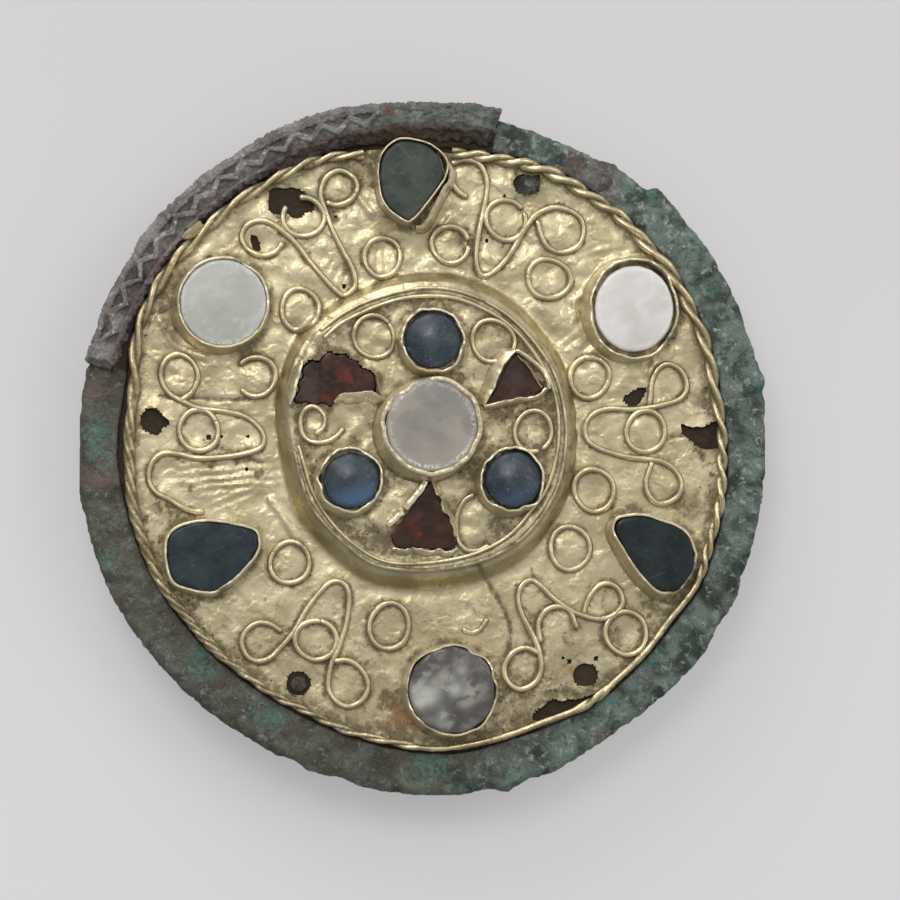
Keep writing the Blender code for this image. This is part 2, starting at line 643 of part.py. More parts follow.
def catch_plate(bronze):
    """A strip turned over into a hook near the bottom of the back, where the pin's point was caught."""
    y = -(PLATE_DIAMETER / 2 - FITTING_INSET)
    top = BACK_Z - SEAT_GAP
    wall, hook = CATCH_WALL / 2, CATCH_HOOK / 2
    outline = [
        (-hook, top), (hook, top), (hook, top - FITTING_FOOT), (-hook + 2 * wall, top - FITTING_FOOT),
        (-hook + 2 * wall, CATCH_WALL), (hook - 2 * wall, CATCH_WALL), (hook - 2 * wall, CATCH_LIP),
        (hook, CATCH_LIP), (hook, wall), (hook - wall, 0), (-hook + wall, 0), (-hook, wall),
    ]
    ends = (y - CATCH_LENGTH / 2, y + CATCH_LENGTH / 2)
    add_object("catch_plate", loft([[(x, end, z) for x, z in outline] for end in ends]), bronze)


def main():
    for obj in list(bpy.data.objects):
        bpy.data.objects.remove(obj)
    bronze = material("corroded bronze", (0.075, 0.090, 0.075), 0.75, 0.6)
    strip = material("grey bronze", (0.130, 0.120, 0.110), 0.6, 0.7)
    gold = material("pale gold", (0.52, 0.44, 0.24), 0.35, 1.0)
    stones = {
        "upper_left": material("pale shell", (0.44, 0.44, 0.38), 0.35, 0.0),
        "upper_right": material("white shell", (0.68, 0.67, 0.63), 0.35, 0.0),
        "bottom": material("clear grey stone", (0.30, 0.30, 0.26), 0.2, 0.0),
        "top": material("green glass", (0.045, 0.065, 0.06), 0.3, 0.0),
        "lower_left": material("navy glass", (0.022, 0.035, 0.05), 0.3, 0.0),
        "lower_right": material("dark teal glass", (0.016, 0.032, 0.036), 0.3, 0.0),
        "centre": material("milky stone", (0.31, 0.28, 0.25), 0.35, 0.0),
        "cabochon": material("blue glass", (0.045, 0.08, 0.14), 0.15, 0.0),
        "garnet": material("garnet", (0.05, 0.012, 0.012), 0.2, 0.0),
    }
    back_plate(bronze)
    rim_strip(strip)
    gold_sheet(gold)
    edge_rope(gold)
    boss_wire(gold)
    outer_settings(gold, stones)
    boss_settings(gold, stones)
    filigree(gold)
    rivet_stub(bronze)
    hinge_lugs(bronze)
    catch_plate(bronze)


main()
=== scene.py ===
import math

import bmesh
import bpy
import numpy as np
from mathutils import Matrix, Vector, kdtree, noise


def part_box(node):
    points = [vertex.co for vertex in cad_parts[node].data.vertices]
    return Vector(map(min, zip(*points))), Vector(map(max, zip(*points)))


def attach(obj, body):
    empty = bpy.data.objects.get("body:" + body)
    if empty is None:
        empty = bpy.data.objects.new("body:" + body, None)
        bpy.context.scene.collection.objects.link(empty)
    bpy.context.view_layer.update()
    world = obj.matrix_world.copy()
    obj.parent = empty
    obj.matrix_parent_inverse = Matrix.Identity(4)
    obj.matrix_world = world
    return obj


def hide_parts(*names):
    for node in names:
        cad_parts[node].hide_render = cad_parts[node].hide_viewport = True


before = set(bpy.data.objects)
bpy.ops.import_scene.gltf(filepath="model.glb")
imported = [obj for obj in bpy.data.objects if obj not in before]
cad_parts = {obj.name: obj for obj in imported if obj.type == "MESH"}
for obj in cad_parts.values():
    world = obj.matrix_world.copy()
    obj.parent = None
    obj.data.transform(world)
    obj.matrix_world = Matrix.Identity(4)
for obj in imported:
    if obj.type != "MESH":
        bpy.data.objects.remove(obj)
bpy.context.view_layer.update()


def low(node):
    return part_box(node)[0].z / MM


def high(node):
    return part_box(node)[1].z / MM


# The photograph's frame, and the heights that the frame gives
MM = 0.001
FRAME_PX = 900
PIXEL = 60.0 / 684
PLATE_PX, SHEET_PX, BOSS_PX = (424, 451), (428, 447), (430, 428)
VIEW_TILT = math.radians(4)
VIEW_SIDE = np.array((-0.7071, -0.7071))
BACK_Z, PLATE_TOP = low("back_plate"), high("back_plate")
SEAT_GAP = 0.1
FIELD_Z = low("scroll_left") - SEAT_GAP
FLOOR_Z = low("gold_sheet") - SEAT_GAP
BOSS_Z = high("gold_sheet")
UP = np.array((0.0, 0.0, 1.0))


def at(px, z=PLATE_TOP):
    """Plan points of pixels of the photograph, for something seen there at height z."""
    px = np.asarray(px, float)
    plan = np.stack([px[..., 0] - PLATE_PX[0], PLATE_PX[1] - px[..., 1]], -1) * PIXEL
    return plan + VIEW_SIDE * math.tan(VIEW_TILT) * (z - PLATE_TOP)


# The sheet, its boss and the plate's recess
SHEET_CENTRE, BOSS_CENTRE = at(SHEET_PX), at(BOSS_PX, BOSS_Z)
SHEET_PITCH = 0.215
SHEET_THICKNESS = 0.13
BOSS_RIM_PX, BOSS_FOOT_PX, BOSS_FOOT_SPREAD_PX = 137, 149, 7
BOSS_GROOVE_PX, BOSS_FLAT_PX = (131, 124), (126, 118)
OUTER_BOSS_WIRE_PX = [(322, 331), (345, 314), (378, 299), (415, 290), (450, 290), (485, 302), (514, 321),
    (541, 352), (557, 382), (565, 420), (564, 455), (556, 488), (541, 515), (522, 537), (500, 552),
    (470, 563), (430, 569), (395, 568), (368, 560), (336, 534), (313, 507), (301, 475), (296, 453)]
INNER_BOSS_WIRE_PX = [(324, 337), (342, 322), (378, 305), (412, 296), (450, 296), (478, 305), (505, 320),
    (530, 345), (550, 377), (559, 410), (559, 448), (549, 486), (532, 511), (510, 536), (480, 553),
    (445, 562), (408, 565), (380, 561), (353, 545), (330, 522), (312, 493), (303, 465), (298, 448)]
LOST_RIM_PX = [(290, 430), (289, 408), (294, 385), (303, 362), (312, 344)]
BOSS_SINK = 0.18
RECESS_RADIUS = 306 * PIXEL
RECESS_MARGIN = 0.5
# How far the rope lies from the sheet's middle, by direction in degrees
ROPE_RADII_PX = [(0, 295), (10, 293), (20, 296), (30, 299), (50, 300), (60, 301), (70, 301), (80, 296),
    (87, 295), (100, 302), (105, 305), (115, 308), (125, 310), (135, 311), (145, 314), (150, 315),
    (155, 314), (160, 310), (165, 303), (170, 298), (175, 297), (185, 299), (200, 300), (210, 297),
    (220, 294), (230, 292), (242, 290), (255, 294), (270, 300), (275, 302), (288, 297), (303, 302),
    (315, 298), (325, 297), (333, 302), (342, 298), (352, 297)]
WIRE_RADIUS = 0.27
FINE_WIRE_RADIUS = 0.18
# How high a wire's middle lies and where its worn top is flat, in radii
WIRE_SEAT, FLAT_TOP = 0.72, 0.85
WIRE_UNEVENNESS = 0.07
WIRE_STEP = 0.14
CAP_DEGREES = (75, 50, 25)
ROPE_PITCH = 5.6

# Wrinkles in the gold: centre, half length, half width, direction in degrees, spacing and depth
WRINKLES_PX = [(228, 478, 46, 20, 4, 8.0, 0.085), (236, 496, 34, 10, 22, 8.0, 0.06),
    (255, 378, 17, 16, -25, 6.5, 0.07), (181, 381, 14, 8, 0, 6.0, 0.06), (222, 402, 40, 8, 4, 6.0, 0.05),
    (382, 258, 15, 13, 86, 8.0, 0.06), (665, 385, 14, 15, -55, 6.0, 0.06),
    (640, 345, 22, 14, 25, 8.0, 0.04), (560, 345, 26, 12, 35, 9.0, 0.05), (600, 250, 20, 14, 12, 9.0, 0.05),
    (300, 700, 30, 8, -28, 7.0, 0.05), (340, 275, 18, 18, 60, 9.0, 0.05),
    (470, 600, 30, 14, -60, 10.0, 0.04), (225, 262, 26, 12, 32, 8.0, 0.05),
    (655, 530, 26, 14, 70, 9.0, 0.04)]
CRACKS_PX = [
    [(478, 566), (488, 583), (501, 604), (509, 622), (510, 640), (506, 656)],
    [(160, 397), (190, 398), (225, 400), (250, 399)],
    [(205, 441), (230, 452), (262, 463)],
    [(668, 438), (676, 436), (684, 435)],
]
FOLDS_PX = [
    [(576, 318), (575, 300), (583, 294), (592, 282), (608, 262), (632, 254), (664, 251)],
    [(600, 345), (590, 352), (585, 362)],
    [(655, 362), (650, 374)],
    [(350, 160), (356, 190), (372, 215)],
    [(452, 215), (440, 232)],
    [(330, 330), (305, 345), (288, 372)],
    [(270, 500), (285, 520), (300, 545)],
    [(160, 320), (175, 345), (205, 358)],
    [(640, 590), (655, 606)],
    [(540, 690), (565, 688), (600, 700)],
]
PINHOLES_PX = [(209, 438), (222, 437), (248, 437), (505, 195), (563, 658), (570, 662), (596, 658),
    (344, 287), (312, 207), (336, 216), (247, 470), (460, 645), (487, 240)]

# Holes in the gold, each with how far its edge is pressed down or curls up
HOLES_PX = {
    "rivet_top": ([(541, 180), (538, 190), (529, 194), (519, 191), (513, 182), (517, 175), (525, 173),
        (532, 175), (539, 173)], 0.24),
    "rivet_left": ([(311, 683), (307, 692), (299, 695), (290, 692), (287, 683), (291, 674), (299, 671),
        (307, 674)], -0.1),
    "rivet_right": ([(598, 675), (594, 683), (586, 686), (578, 684), (573, 676), (576, 667), (585, 663),
        (594, 666)], -0.1),
    "tear_upper": ([(270, 190), (276, 187), (284, 188), (292, 187), (302, 191), (309, 198), (314, 205),
        (311, 211), (305, 212), (299, 218), (291, 217), (285, 212), (277, 214), (270, 212), (268, 202)
        ], -0.1),
    "tear_left": ([(146, 411), (151, 409), (157, 410), (163, 416), (170, 423), (163, 429), (158, 436),
        (149, 433), (143, 428), (141, 420)], 0.12),
    "tear_right": ([(682, 423), (690, 426), (700, 427), (708, 425), (718, 420), (720, 430), (719, 445),
        (710, 449), (700, 447), (692, 440), (684, 434)], 0.12),
    "tear_curl": ([(624, 397), (632, 392), (640, 387), (647, 388), (644, 396), (640, 403), (633, 406),
        (628, 403)], -0.05),
    "slot": ([(250, 237), (256, 236), (259, 243), (260, 250), (254, 251), (251, 244)], -0.03),
    "tear_low": ([(531, 719), (537, 711), (545, 704), (553, 699), (561, 701), (569, 699), (579, 699),
        (592, 694), (598, 694), (584, 702), (570, 709), (556, 715), (543, 720)], 0.12),
}
GARNET_HOLE_PX = [(308, 363), (313, 360), (318, 363), (323, 357), (330, 352), (337, 355), (345, 354),
    (350, 359), (357, 361), (362, 368), (370, 371), (376, 378), (377, 386), (374, 393), (358, 395),
    (341, 396), (336, 402), (331, 408), (324, 404), (316, 406), (306, 403), (297, 405), (294, 399),
    (299, 391), (298, 383), (303, 377), (302, 370)]

# Scrolls: each one long wire, with the ringlets that touch it
SCROLLS_PX = {
    "upper_left": [(281, 245), (274, 253), (262, 256), (248, 250), (241, 238), (246, 226), (258, 221),
        (270, 223), (283, 232), (296, 244), (310, 262), (325, 280), (335, 290), (344, 296), (352, 291),
        (355, 283), (352, 268), (342, 250), (333, 232), (326, 213), (320, 195), (325, 178), (339, 170),
        (352, 176), (357, 188), (350, 200), (338, 205), (328, 203)],
    "upper_right": [(453, 162), (465, 158), (477, 161), (484, 170), (487, 182), (486, 195), (482, 215),
        (478, 235), (476, 255), (477, 267), (481, 274), (488, 275), (497, 269), (507, 258), (515, 245),
        (525, 228), (535, 215), (545, 209), (556, 206), (570, 209), (581, 217), (584, 230), (580, 243),
        (570, 250), (558, 251), (547, 245), (541, 234), (538, 222)],
    "right": [(650, 402), (651, 395), (652, 384), (655, 374), (661, 366), (670, 363), (681, 369),
        (687, 380), (687, 390), (680, 399), (665, 404), (650, 407), (630, 409), (612, 408), (597, 412),
        (588, 420), (585, 430), (588, 440), (597, 447), (610, 452), (630, 457), (650, 459), (665, 462),
        (677, 472), (682, 484), (679, 495), (670, 502), (658, 503), (649, 495), (646, 484), (648, 474),
        (652, 464)],
    "lower_right": [(537, 652), (528, 648), (519, 649), (510, 655), (504, 668), (508, 682), (520, 689),
        (534, 683), (541, 668), (538, 648), (530, 630), (522, 615), (518, 600), (520, 588), (525, 582),
        (532, 580), (540, 585), (550, 595), (560, 603), (572, 611), (585, 616), (598, 619), (612, 616),
        (622, 605), (621, 593), (612, 584), (600, 585), (591, 594), (586, 604), (584, 612)],
    "lower_left": [(280, 630), (270, 624), (258, 623), (247, 630), (242, 642), (247, 655), (258, 661),
        (270, 658), (280, 648), (290, 637), (298, 625), (305, 612), (315, 598), (325, 587), (333, 582),
        (341, 582), (347, 588), (349, 600), (347, 620), (343, 635), (338, 650), (332, 662), (329, 675),
        (329, 690), (338, 702), (350, 706), (362, 700), (368, 688), (365, 675), (357, 665), (347, 660),
        (336, 661)],
    "left": [(182, 401), (192, 393), (198, 378), (193, 363), (180, 355), (167, 360), (161, 372), (163, 385),
        (172, 396), (185, 403), (200, 409), (225, 412), (245, 417), (259, 428), (264, 439), (261, 448),
        (250, 453), (230, 457), (200, 459), (180, 455), (165, 454), (155, 460), (150, 470), (150, 483),
        (158, 494), (170, 500), (183, 508), (195, 512), (202, 512)],
}

# Ringlets: centre, half width and height, where the ring is open and how far, in degrees
SCROLL_RINGLETS_PX = {
    "upper_left": (303, 217, 20, 20, 125, 60),
    "upper_right": (506, 219, 20, 20, 28, 26),
    "right": (646, 431, 20, 20, 60, 6),
    "lower_right": (626, 633, 21, 21, 120, 4),
    "lower_left": (316, 640, 20, 20, 75, 12),
    "left": (199, 431, 20, 20, 28, 10),
}
FIELD_RINGLETS_PX = {
    "upper_left_inner": (300, 310, 19.5, 20, 205, 3),
    "top_left": (382, 257, 18.5, 19, 25, 6),
    "top_right": (450, 244, 19, 18, 5, 34),
    "upper_right_inner": (549, 278, 21, 20, 170, 5),
    "right_upper": (590, 377, 20, 20, 60, 3),
    "right_lower": (594, 490, 20, 21, 200, 3),
    "lower_right_inner": (570, 548, 20.5, 21, 80, 3),
    "bottom_left": (389, 626, 20, 22.5, 230, 3),
    "lower_left_inner": (290, 563, 19, 21, 150, 3),
    "left_upper": (256, 377, 20, 19, 182, 92),
}
BOSS_RINGLETS_PX = {
    "top_left": (374, 337, 20, 21, 40, 14),
    "top_right": (493, 341, 21, 21, 285, 3),
    "right": (533, 431, 19, 20, -68, 22),
}
BOSS_LEFT_CURL_PX = [(317, 434), (324, 428), (325, 418), (320, 410), (312, 407), (304, 412), (301, 422),
    (303, 434), (310, 441), (320, 443), (330, 441), (338, 436), (343, 430)]
BOSS_OPEN_CURL_PX = [(472, 495), (464, 500), (458, 512), (456, 525), (458, 540), (466, 549), (478, 550),
    (487, 546)]
FRAGMENT_PX = [(464, 630), (469, 632), (475, 632), (481, 628), (486, 620)]
SCROLL_BITS_PX = {
    "upper_right": [(451, 180), (455, 187), (460, 192), (465, 195)],
    "lower_right": [(540, 640), (538, 624), (544, 612), (553, 607), (563, 607), (571, 613), (576, 626)],
}


def linked(name, data):
    """A new object in the scene."""
    made = bpy.data.objects.new(name, data)
    bpy.context.scene.collection.objects.link(made)
    return made


def node_corners(node):
    """The corners of one of the frame's nodes, in millimetres."""
    return np.array([v.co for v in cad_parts[node].data.vertices]) / MM


def full_turn(count):
    """Directions in radians, evenly spaced round a circle."""
    return np.linspace(0, 2 * math.pi, count, endpoint=False)


def turn_of(offsets):
    """Directions in radians of plan offsets."""
    return np.arctan2(offsets[:, 1], offsets[:, 0])


def unit(vectors):
    return vectors / np.maximum(np.linalg.norm(vectors, axis=-1, keepdims=True), 1e-9)


def bearing(turns):
    """Unit plan vectors for directions in radians."""
    return np.stack([np.cos(turns), np.sin(turns)], -1)


def from_middle(points):
    """How far points lie from the plate's middle, in plan."""
    return np.hypot(points[:, 0], points[:, 1])


def reach_of(line, turns):
    """How far a closed line round the origin reaches, for directions in radians."""
    return np.interp(turns, turn_of(line), np.linalg.norm(line, axis=1), period=2 * math.pi)


def near_turn(degrees, centre, width):
    """A soft bump of height 1 round one direction in degrees."""
    return np.exp(-(((degrees - centre + 180) % 360 - 180) / width) ** 2)


def raised(plan, z):
    """Plan points with a height for each, or one height for all."""
    return np.concatenate([plan, np.broadcast_to(np.reshape(z, (-1, 1)), (len(plan), 1))], -1)


def along(line, closed):
    """Unit vectors along a line."""
    return unit(np.roll(line, -1, 0) - np.roll(line, 1, 0) if closed else np.gradient(line, axis=0))


def outward(line, closed=True):
    """Unit plan vectors to a line's right, which is outwards where it runs round anticlockwise."""
    forward = along(line, closed)
    return np.stack([forward[:, 1], -forward[:, 0]], -1)


def ramp(start, end, x):
    """A smooth step from 0 at start to 1 at end."""
    t = np.clip((np.asarray(x, float) - start) / (end - start), 0, 1)
    return t * t * (3 - 2 * t)


def lumps(points, size, octaves, seed):
    """Fractal noise at plan or space points, about -1 to 1, with lumps of this size."""
    shift = Vector((seed * 1.7, seed * 3.1, seed * 7.3 + 0.5))
    return np.array([noise.fractal(Vector((*p, 0.0)[:3]) / size + shift, 1.0, 2.0, octaves) for p in points])


def curve(points, spacing, closed=False):
    """Points about spacing apart on a smooth curve through the given ones."""
    points = np.asarray(points, float)
    if closed:
        ends = np.concatenate([points[-1:], points, points[:2]])
    else:
        ends = np.concatenate([2 * points[:1] - points[1:2], points, 2 * points[-1:] - points[-2:-1]])
    p0, p1, p2, p3 = (ends[i:len(ends) - 3 + i, None] for i in range(4))
    t = np.linspace(0, 1, 12, endpoint=False)[None, :, None]
    fine = 0.5 * (2 * p1 + (p2 - p0) * t + (2 * p0 - 5 * p1 + 4 * p2 - p3) * t ** 2
                  + (3 * p1 - p0 - 3 * p2 + p3) * t ** 3)
    fine = np.concatenate([fine.reshape(-1, points.shape[1]), points[:1] if closed else points[-1:]])
    length = np.concatenate([[0], np.cumsum(np.linalg.norm(np.diff(fine, axis=0), axis=1))])
    count = max(8, round(length[-1] / spacing))
    stations = np.linspace(0, length[-1], count, endpoint=not closed)
    return np.stack([np.interp(stations, length, c) for c in fine.T], -1)


def nearest(points, line):
    """For each point, its distance to the nearest of a line's points, and that point."""
    tree = kdtree.KDTree(len(line))
    for i, p in enumerate(line):
        tree.insert((*p, 0.0)[:3], i)
    tree.balance()
    found = [tree.find((*p, 0.0)[:3]) for p in points]
    return np.array([f[2] for f in found]), np.array([line[f[1]] for f in found])


def inside(points, outline):
    """Which plan points lie inside a closed outline."""
    x, y = points[:, :1], points[:, 1:2]
    ax, ay = outline.T
    bx, by = np.roll(outline, -1, 0).T
    slope = (bx - ax) / np.where(by == ay, 1e-9, by - ay)
    return (((ay > y) != (by > y)) & (x < ax + (y - ay) * slope)).sum(1) % 2 == 1


def spots(points, places, z=PLATE_TOP):
    """How strongly plan points lie in round patches, given as pixel centre and radius."""
    total = np.zeros(len(points))
    for px, py, radius in places:
        away = np.linalg.norm(points[:, :2] - at((px, py), z), axis=1) / (radius * PIXEL)
        total = np.maximum(total, np.exp(-away ** 2))
    return total


def softened(values, ends):
    """Each value's mean with the four on both sides of it."""
    return np.convolve(np.pad(values, 4, mode=ends), np.ones(9) / 9, mode="valid")


def rope_radius(turns):
    """How far the rope lies from the sheet's middle, for directions in radians."""
    fine = np.arange(0, 360, 1.0)
    rough = np.interp(fine, *zip(*ROPE_RADII_PX), period=360)
    return np.interp(np.degrees(turns), fine, softened(rough, "wrap"), period=360) * PIXEL


def recess_radius(turns):
    """How far the plate's recess reaches from the plate's middle, for directions in radians."""
    around = full_turn(360)
    edge = SHEET_CENTRE + bearing(around) * rope_radius(around)[:, None]
    return reach_of(edge, turns) + RECESS_MARGIN + 0.55 * near_turn(np.degrees(turns), 178, 12)


def boss_away(points):
    """Pixels from the boss's middle, as if its uneven rim were a true circle."""
    rim = curve(at(OUTER_BOSS_WIRE_PX + LOST_RIM_PX, BOSS_Z), 0.5, closed=True) - BOSS_CENTRE
    offset = points - BOSS_CENTRE
    reach = reach_of(rim, turn_of(offset))
    return (np.linalg.norm(offset, axis=1) - reach) / PIXEL + BOSS_RIM_PX


# The relief of the gold, each as depth and size
BROAD_LUMPS, FINE_LUMPS, PLEATS, BOSS_LUMPS = (0.13, 3.4), (0.06, 1.5), (0.10, 2.4), (0.13, 1.3)
FOLD_RIDGE, FOLD_HOLLOW = (0.16, 0.22), (0.05, 0.25)
FOLD_HOLLOW_AWAY = 0.55
FOOT_WAVER_PX, FOOT_GROOVE = 1.5, 0.06
# How strong the field's relief is where it is calm, and how much more it is where it is not
CALM, UNREST = 0.52, 0.63
DISH_LIFTS = (-0.10, -0.06, 0.06, 0.11)


def surface(points):
    """The height of the gold's upper face at plan points."""
    points = np.asarray(points, float)[:, :2]
    # The boss: a steep wall whose foot wavers, a groove inside its rim and lumps on its flat part
    away = boss_away(points)
    upright = np.abs((points - BOSS_CENTRE)[:, 1]) / np.maximum(away * PIXEL, 1e-6)
    foot = BOSS_FOOT_PX + 1 + BOSS_FOOT_SPREAD_PX * upright + FOOT_WAVER_PX * lumps(points, 6.0, 2, 1)
    rise = 0.2 * ramp(BOSS_RIM_PX + 4, BOSS_RIM_PX, away) + 0.8 * ramp(foot, BOSS_RIM_PX + 5, away)
    z = FIELD_Z + (BOSS_Z - FIELD_Z) * rise
    z -= BOSS_SINK * ramp(*BOSS_GROOVE_PX, away)
    z -= FOOT_GROOVE * np.exp(-((away - foot - 5) / 5) ** 2)
    z += BOSS_LUMPS[0] * lumps(points, BOSS_LUMPS[1], 2, 6) * ramp(*BOSS_FLAT_PX, away)
    # The field: lumps and sharp pleats, calm towards the lower right
    calm = CALM + UNREST * ramp(-14, 12, points[:, 1] - 0.3 * points[:, 0])
    broad, fine = lumps(points, BROAD_LUMPS[1], 2, 2), lumps(points, FINE_LUMPS[1], 2, 3)
    z += calm * (BROAD_LUMPS[0] * broad + FINE_LUMPS[0] * fine)
    z -= calm * PLEATS[0] * np.abs(lumps(points, PLEATS[1], 2, 4))
    # Wrinkles, folds and the gold inside the ringlets
    for px, py, half_length, half_width, direction, gap, depth in WRINKLES_PX:
        local = (points - at((px, py))) / PIXEL
        c, s = math.cos(math.radians(direction)), math.sin(math.radians(direction))
        u, v = local[:, 0] * c + local[:, 1] * s, -local[:, 0] * s + local[:, 1] * c
        share = np.exp(-1.5 * (u / half_length) ** 2 - 1.5 * (v / half_width) ** 2)
        held = share > 0.02
        bend = np.zeros(len(points))
        bend[held] = 3.5 * lumps(points[held], 3.0, 2, 5)
        z += depth * share * np.cos(2 * math.pi * (v + bend) / gap)
    fold, _ = nearest(points, np.concatenate([curve(at(line), 0.1) for line in FOLDS_PX]))
    hollow = FOLD_HOLLOW[0] * np.exp(-((fold - FOLD_HOLLOW_AWAY) / FOLD_HOLLOW[1]) ** 2)
    z += FOLD_RIDGE[0] * np.exp(-(fold / FOLD_RIDGE[1]) ** 2) - hollow
    for px, py, half, lift in DISHES_PX:
        away = np.linalg.norm(points - at((px, py)), axis=1) / PIXEL
        z += lift * ramp(half - 2, half * 0.35, away)
    return z


def dishes():
    """The gold inside each ringlet, pushed a little up or down: centre, half width and height."""
    random = np.random.RandomState(4)
    specs = (*SCROLL_RINGLETS_PX.values(), *FIELD_RINGLETS_PX.values())
    return [(*spec[:3], random.choice(DISH_LIFTS)) for spec in specs]


DISHES_PX = dishes()


def loft(rings, joined=False):
    """Vertices and faces through rings (count, sides, 3), capped at the ends or joined into a ring."""
    count, sides = rings.shape[:2]
    index = np.arange(count * sides).reshape(count, sides)
    here, there = (index, np.roll(index, -1, 0)) if joined else (index[:-1], index[1:])
    quads = np.stack([here, np.roll(here, -1, 1), np.roll(there, -1, 1), there], -1).reshape(-1, 4).tolist()
    if not joined:
        quads += [index[0][::-1].tolist(), index[-1].tolist()]
    return rings.reshape(-1, 3), quads


def sweep(path, sections):
    """Cross-sections (count, sides, 2), as side and height, carried along an open path."""
    forward = along(path, closed=False)
    side = unit(np.cross(forward, UP))
    rise = np.cross(side, forward)
    return loft(path[:, None] + side[:, None] * sections[..., :1] + rise[:, None] * sections[..., 1:])


def round_wire(path, radius, sides=10):
    """A worn round wire, a little flat on top, with rounded ends."""
    radii = radius * (1 + WIRE_UNEVENNESS * lumps(path, 1.1, 2, 6))
    caps = np.radians(CAP_DEGREES)
    start, end = unit(path[0] - path[1]), unit(path[-1] - path[-2])
    path = np.concatenate([path[0] + start * radii[0] * np.sin(caps)[:, None], path,
                           path[-1] + end * radii[-1] * np.sin(caps)[::-1, None]])
    radii = np.concatenate([radii[0] * np.cos(caps), radii, radii[-1] * np.cos(caps)[::-1]])
    circle = bearing(full_turn(sides))
    circle[:, 1] = np.minimum(circle[:, 1], FLAT_TOP)
    return sweep(path, circle[None] * radii[:, None, None])


def laid(plan, lift):
    """A plan path laid on the gold, its middle this far above the surface."""
    heights = surface(plan)
    return raised(plan, np.maximum(softened(heights, "edge"), heights - 0.03) + lift)


def ringlet_path(spec, z):
    """A plan path round a hand-bent ringlet, from one side of its gap to the other."""
    px, py, half_width, half_height, gap_at, gap = spec
    angles = np.radians(np.linspace(gap_at + gap / 2, gap_at + 360 - gap / 2, 40))
    swell = 1 + 0.035 * np.sin(2 * angles + px) + 0.02 * np.sin(3 * angles + py)
    ring = [px + half_width * swell * np.cos(angles), py - half_height * swell * np.sin(angles)]
    return smoothed(np.stack(ring, -1), z)


def smoothed(points_px, z, spacing=WIRE_STEP):
    """A smooth plan path through pixels of the photograph."""
    return curve(at(points_px, z), spacing)


def outline_of(node):
    """A CAD node's outline at its lowest level, in order round its middle."""
    corners = node_corners(node)
    lowest = corners[:, 2] - corners[:, 2].min() < 0.01
    ring = np.unique(np.round(corners[lowest][:, :2], 3), axis=0)
    offset = ring - ring.mean(0)
    return ring[np.argsort(turn_of(offset))]


def piece(name, parts, material, slot, *nodes, crease=40, **attributes):
    """One object from parts of vertices and faces. An attribute is a number, an array or a rule."""
    start, corners, faces = 0, [], []
    for points, sides in parts:
        corners.append(points)
        faces += [[i + start for i in face] for face in sides]
        start += len(points)
    corners = np.concatenate(corners)
    mesh = bpy.data.meshes.new(name)
    mesh.from_pydata((corners * MM).tolist(), [], faces)
    shape = bmesh.new()
    shape.from_mesh(mesh)
    bmesh.ops.recalc_face_normals(shape, faces=shape.faces)
    shape.to_mesh(mesh)
    shape.free()
    for key, rule in attributes.items():
        values = np.broadcast_to(rule(corners) if callable(rule) else rule, len(corners))
        layer = mesh.attributes.new(key, "FLOAT", "POINT")
        layer.data.foreach_set("value", np.clip(values, 0, 1).astype(np.float32))
    mesh.materials.append(material)
    mesh.shade_smooth()
    mesh.set_sharp_from_angle(angle=math.radians(crease))
    made = linked(name, mesh)
    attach(made, "root")
    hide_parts(*nodes)


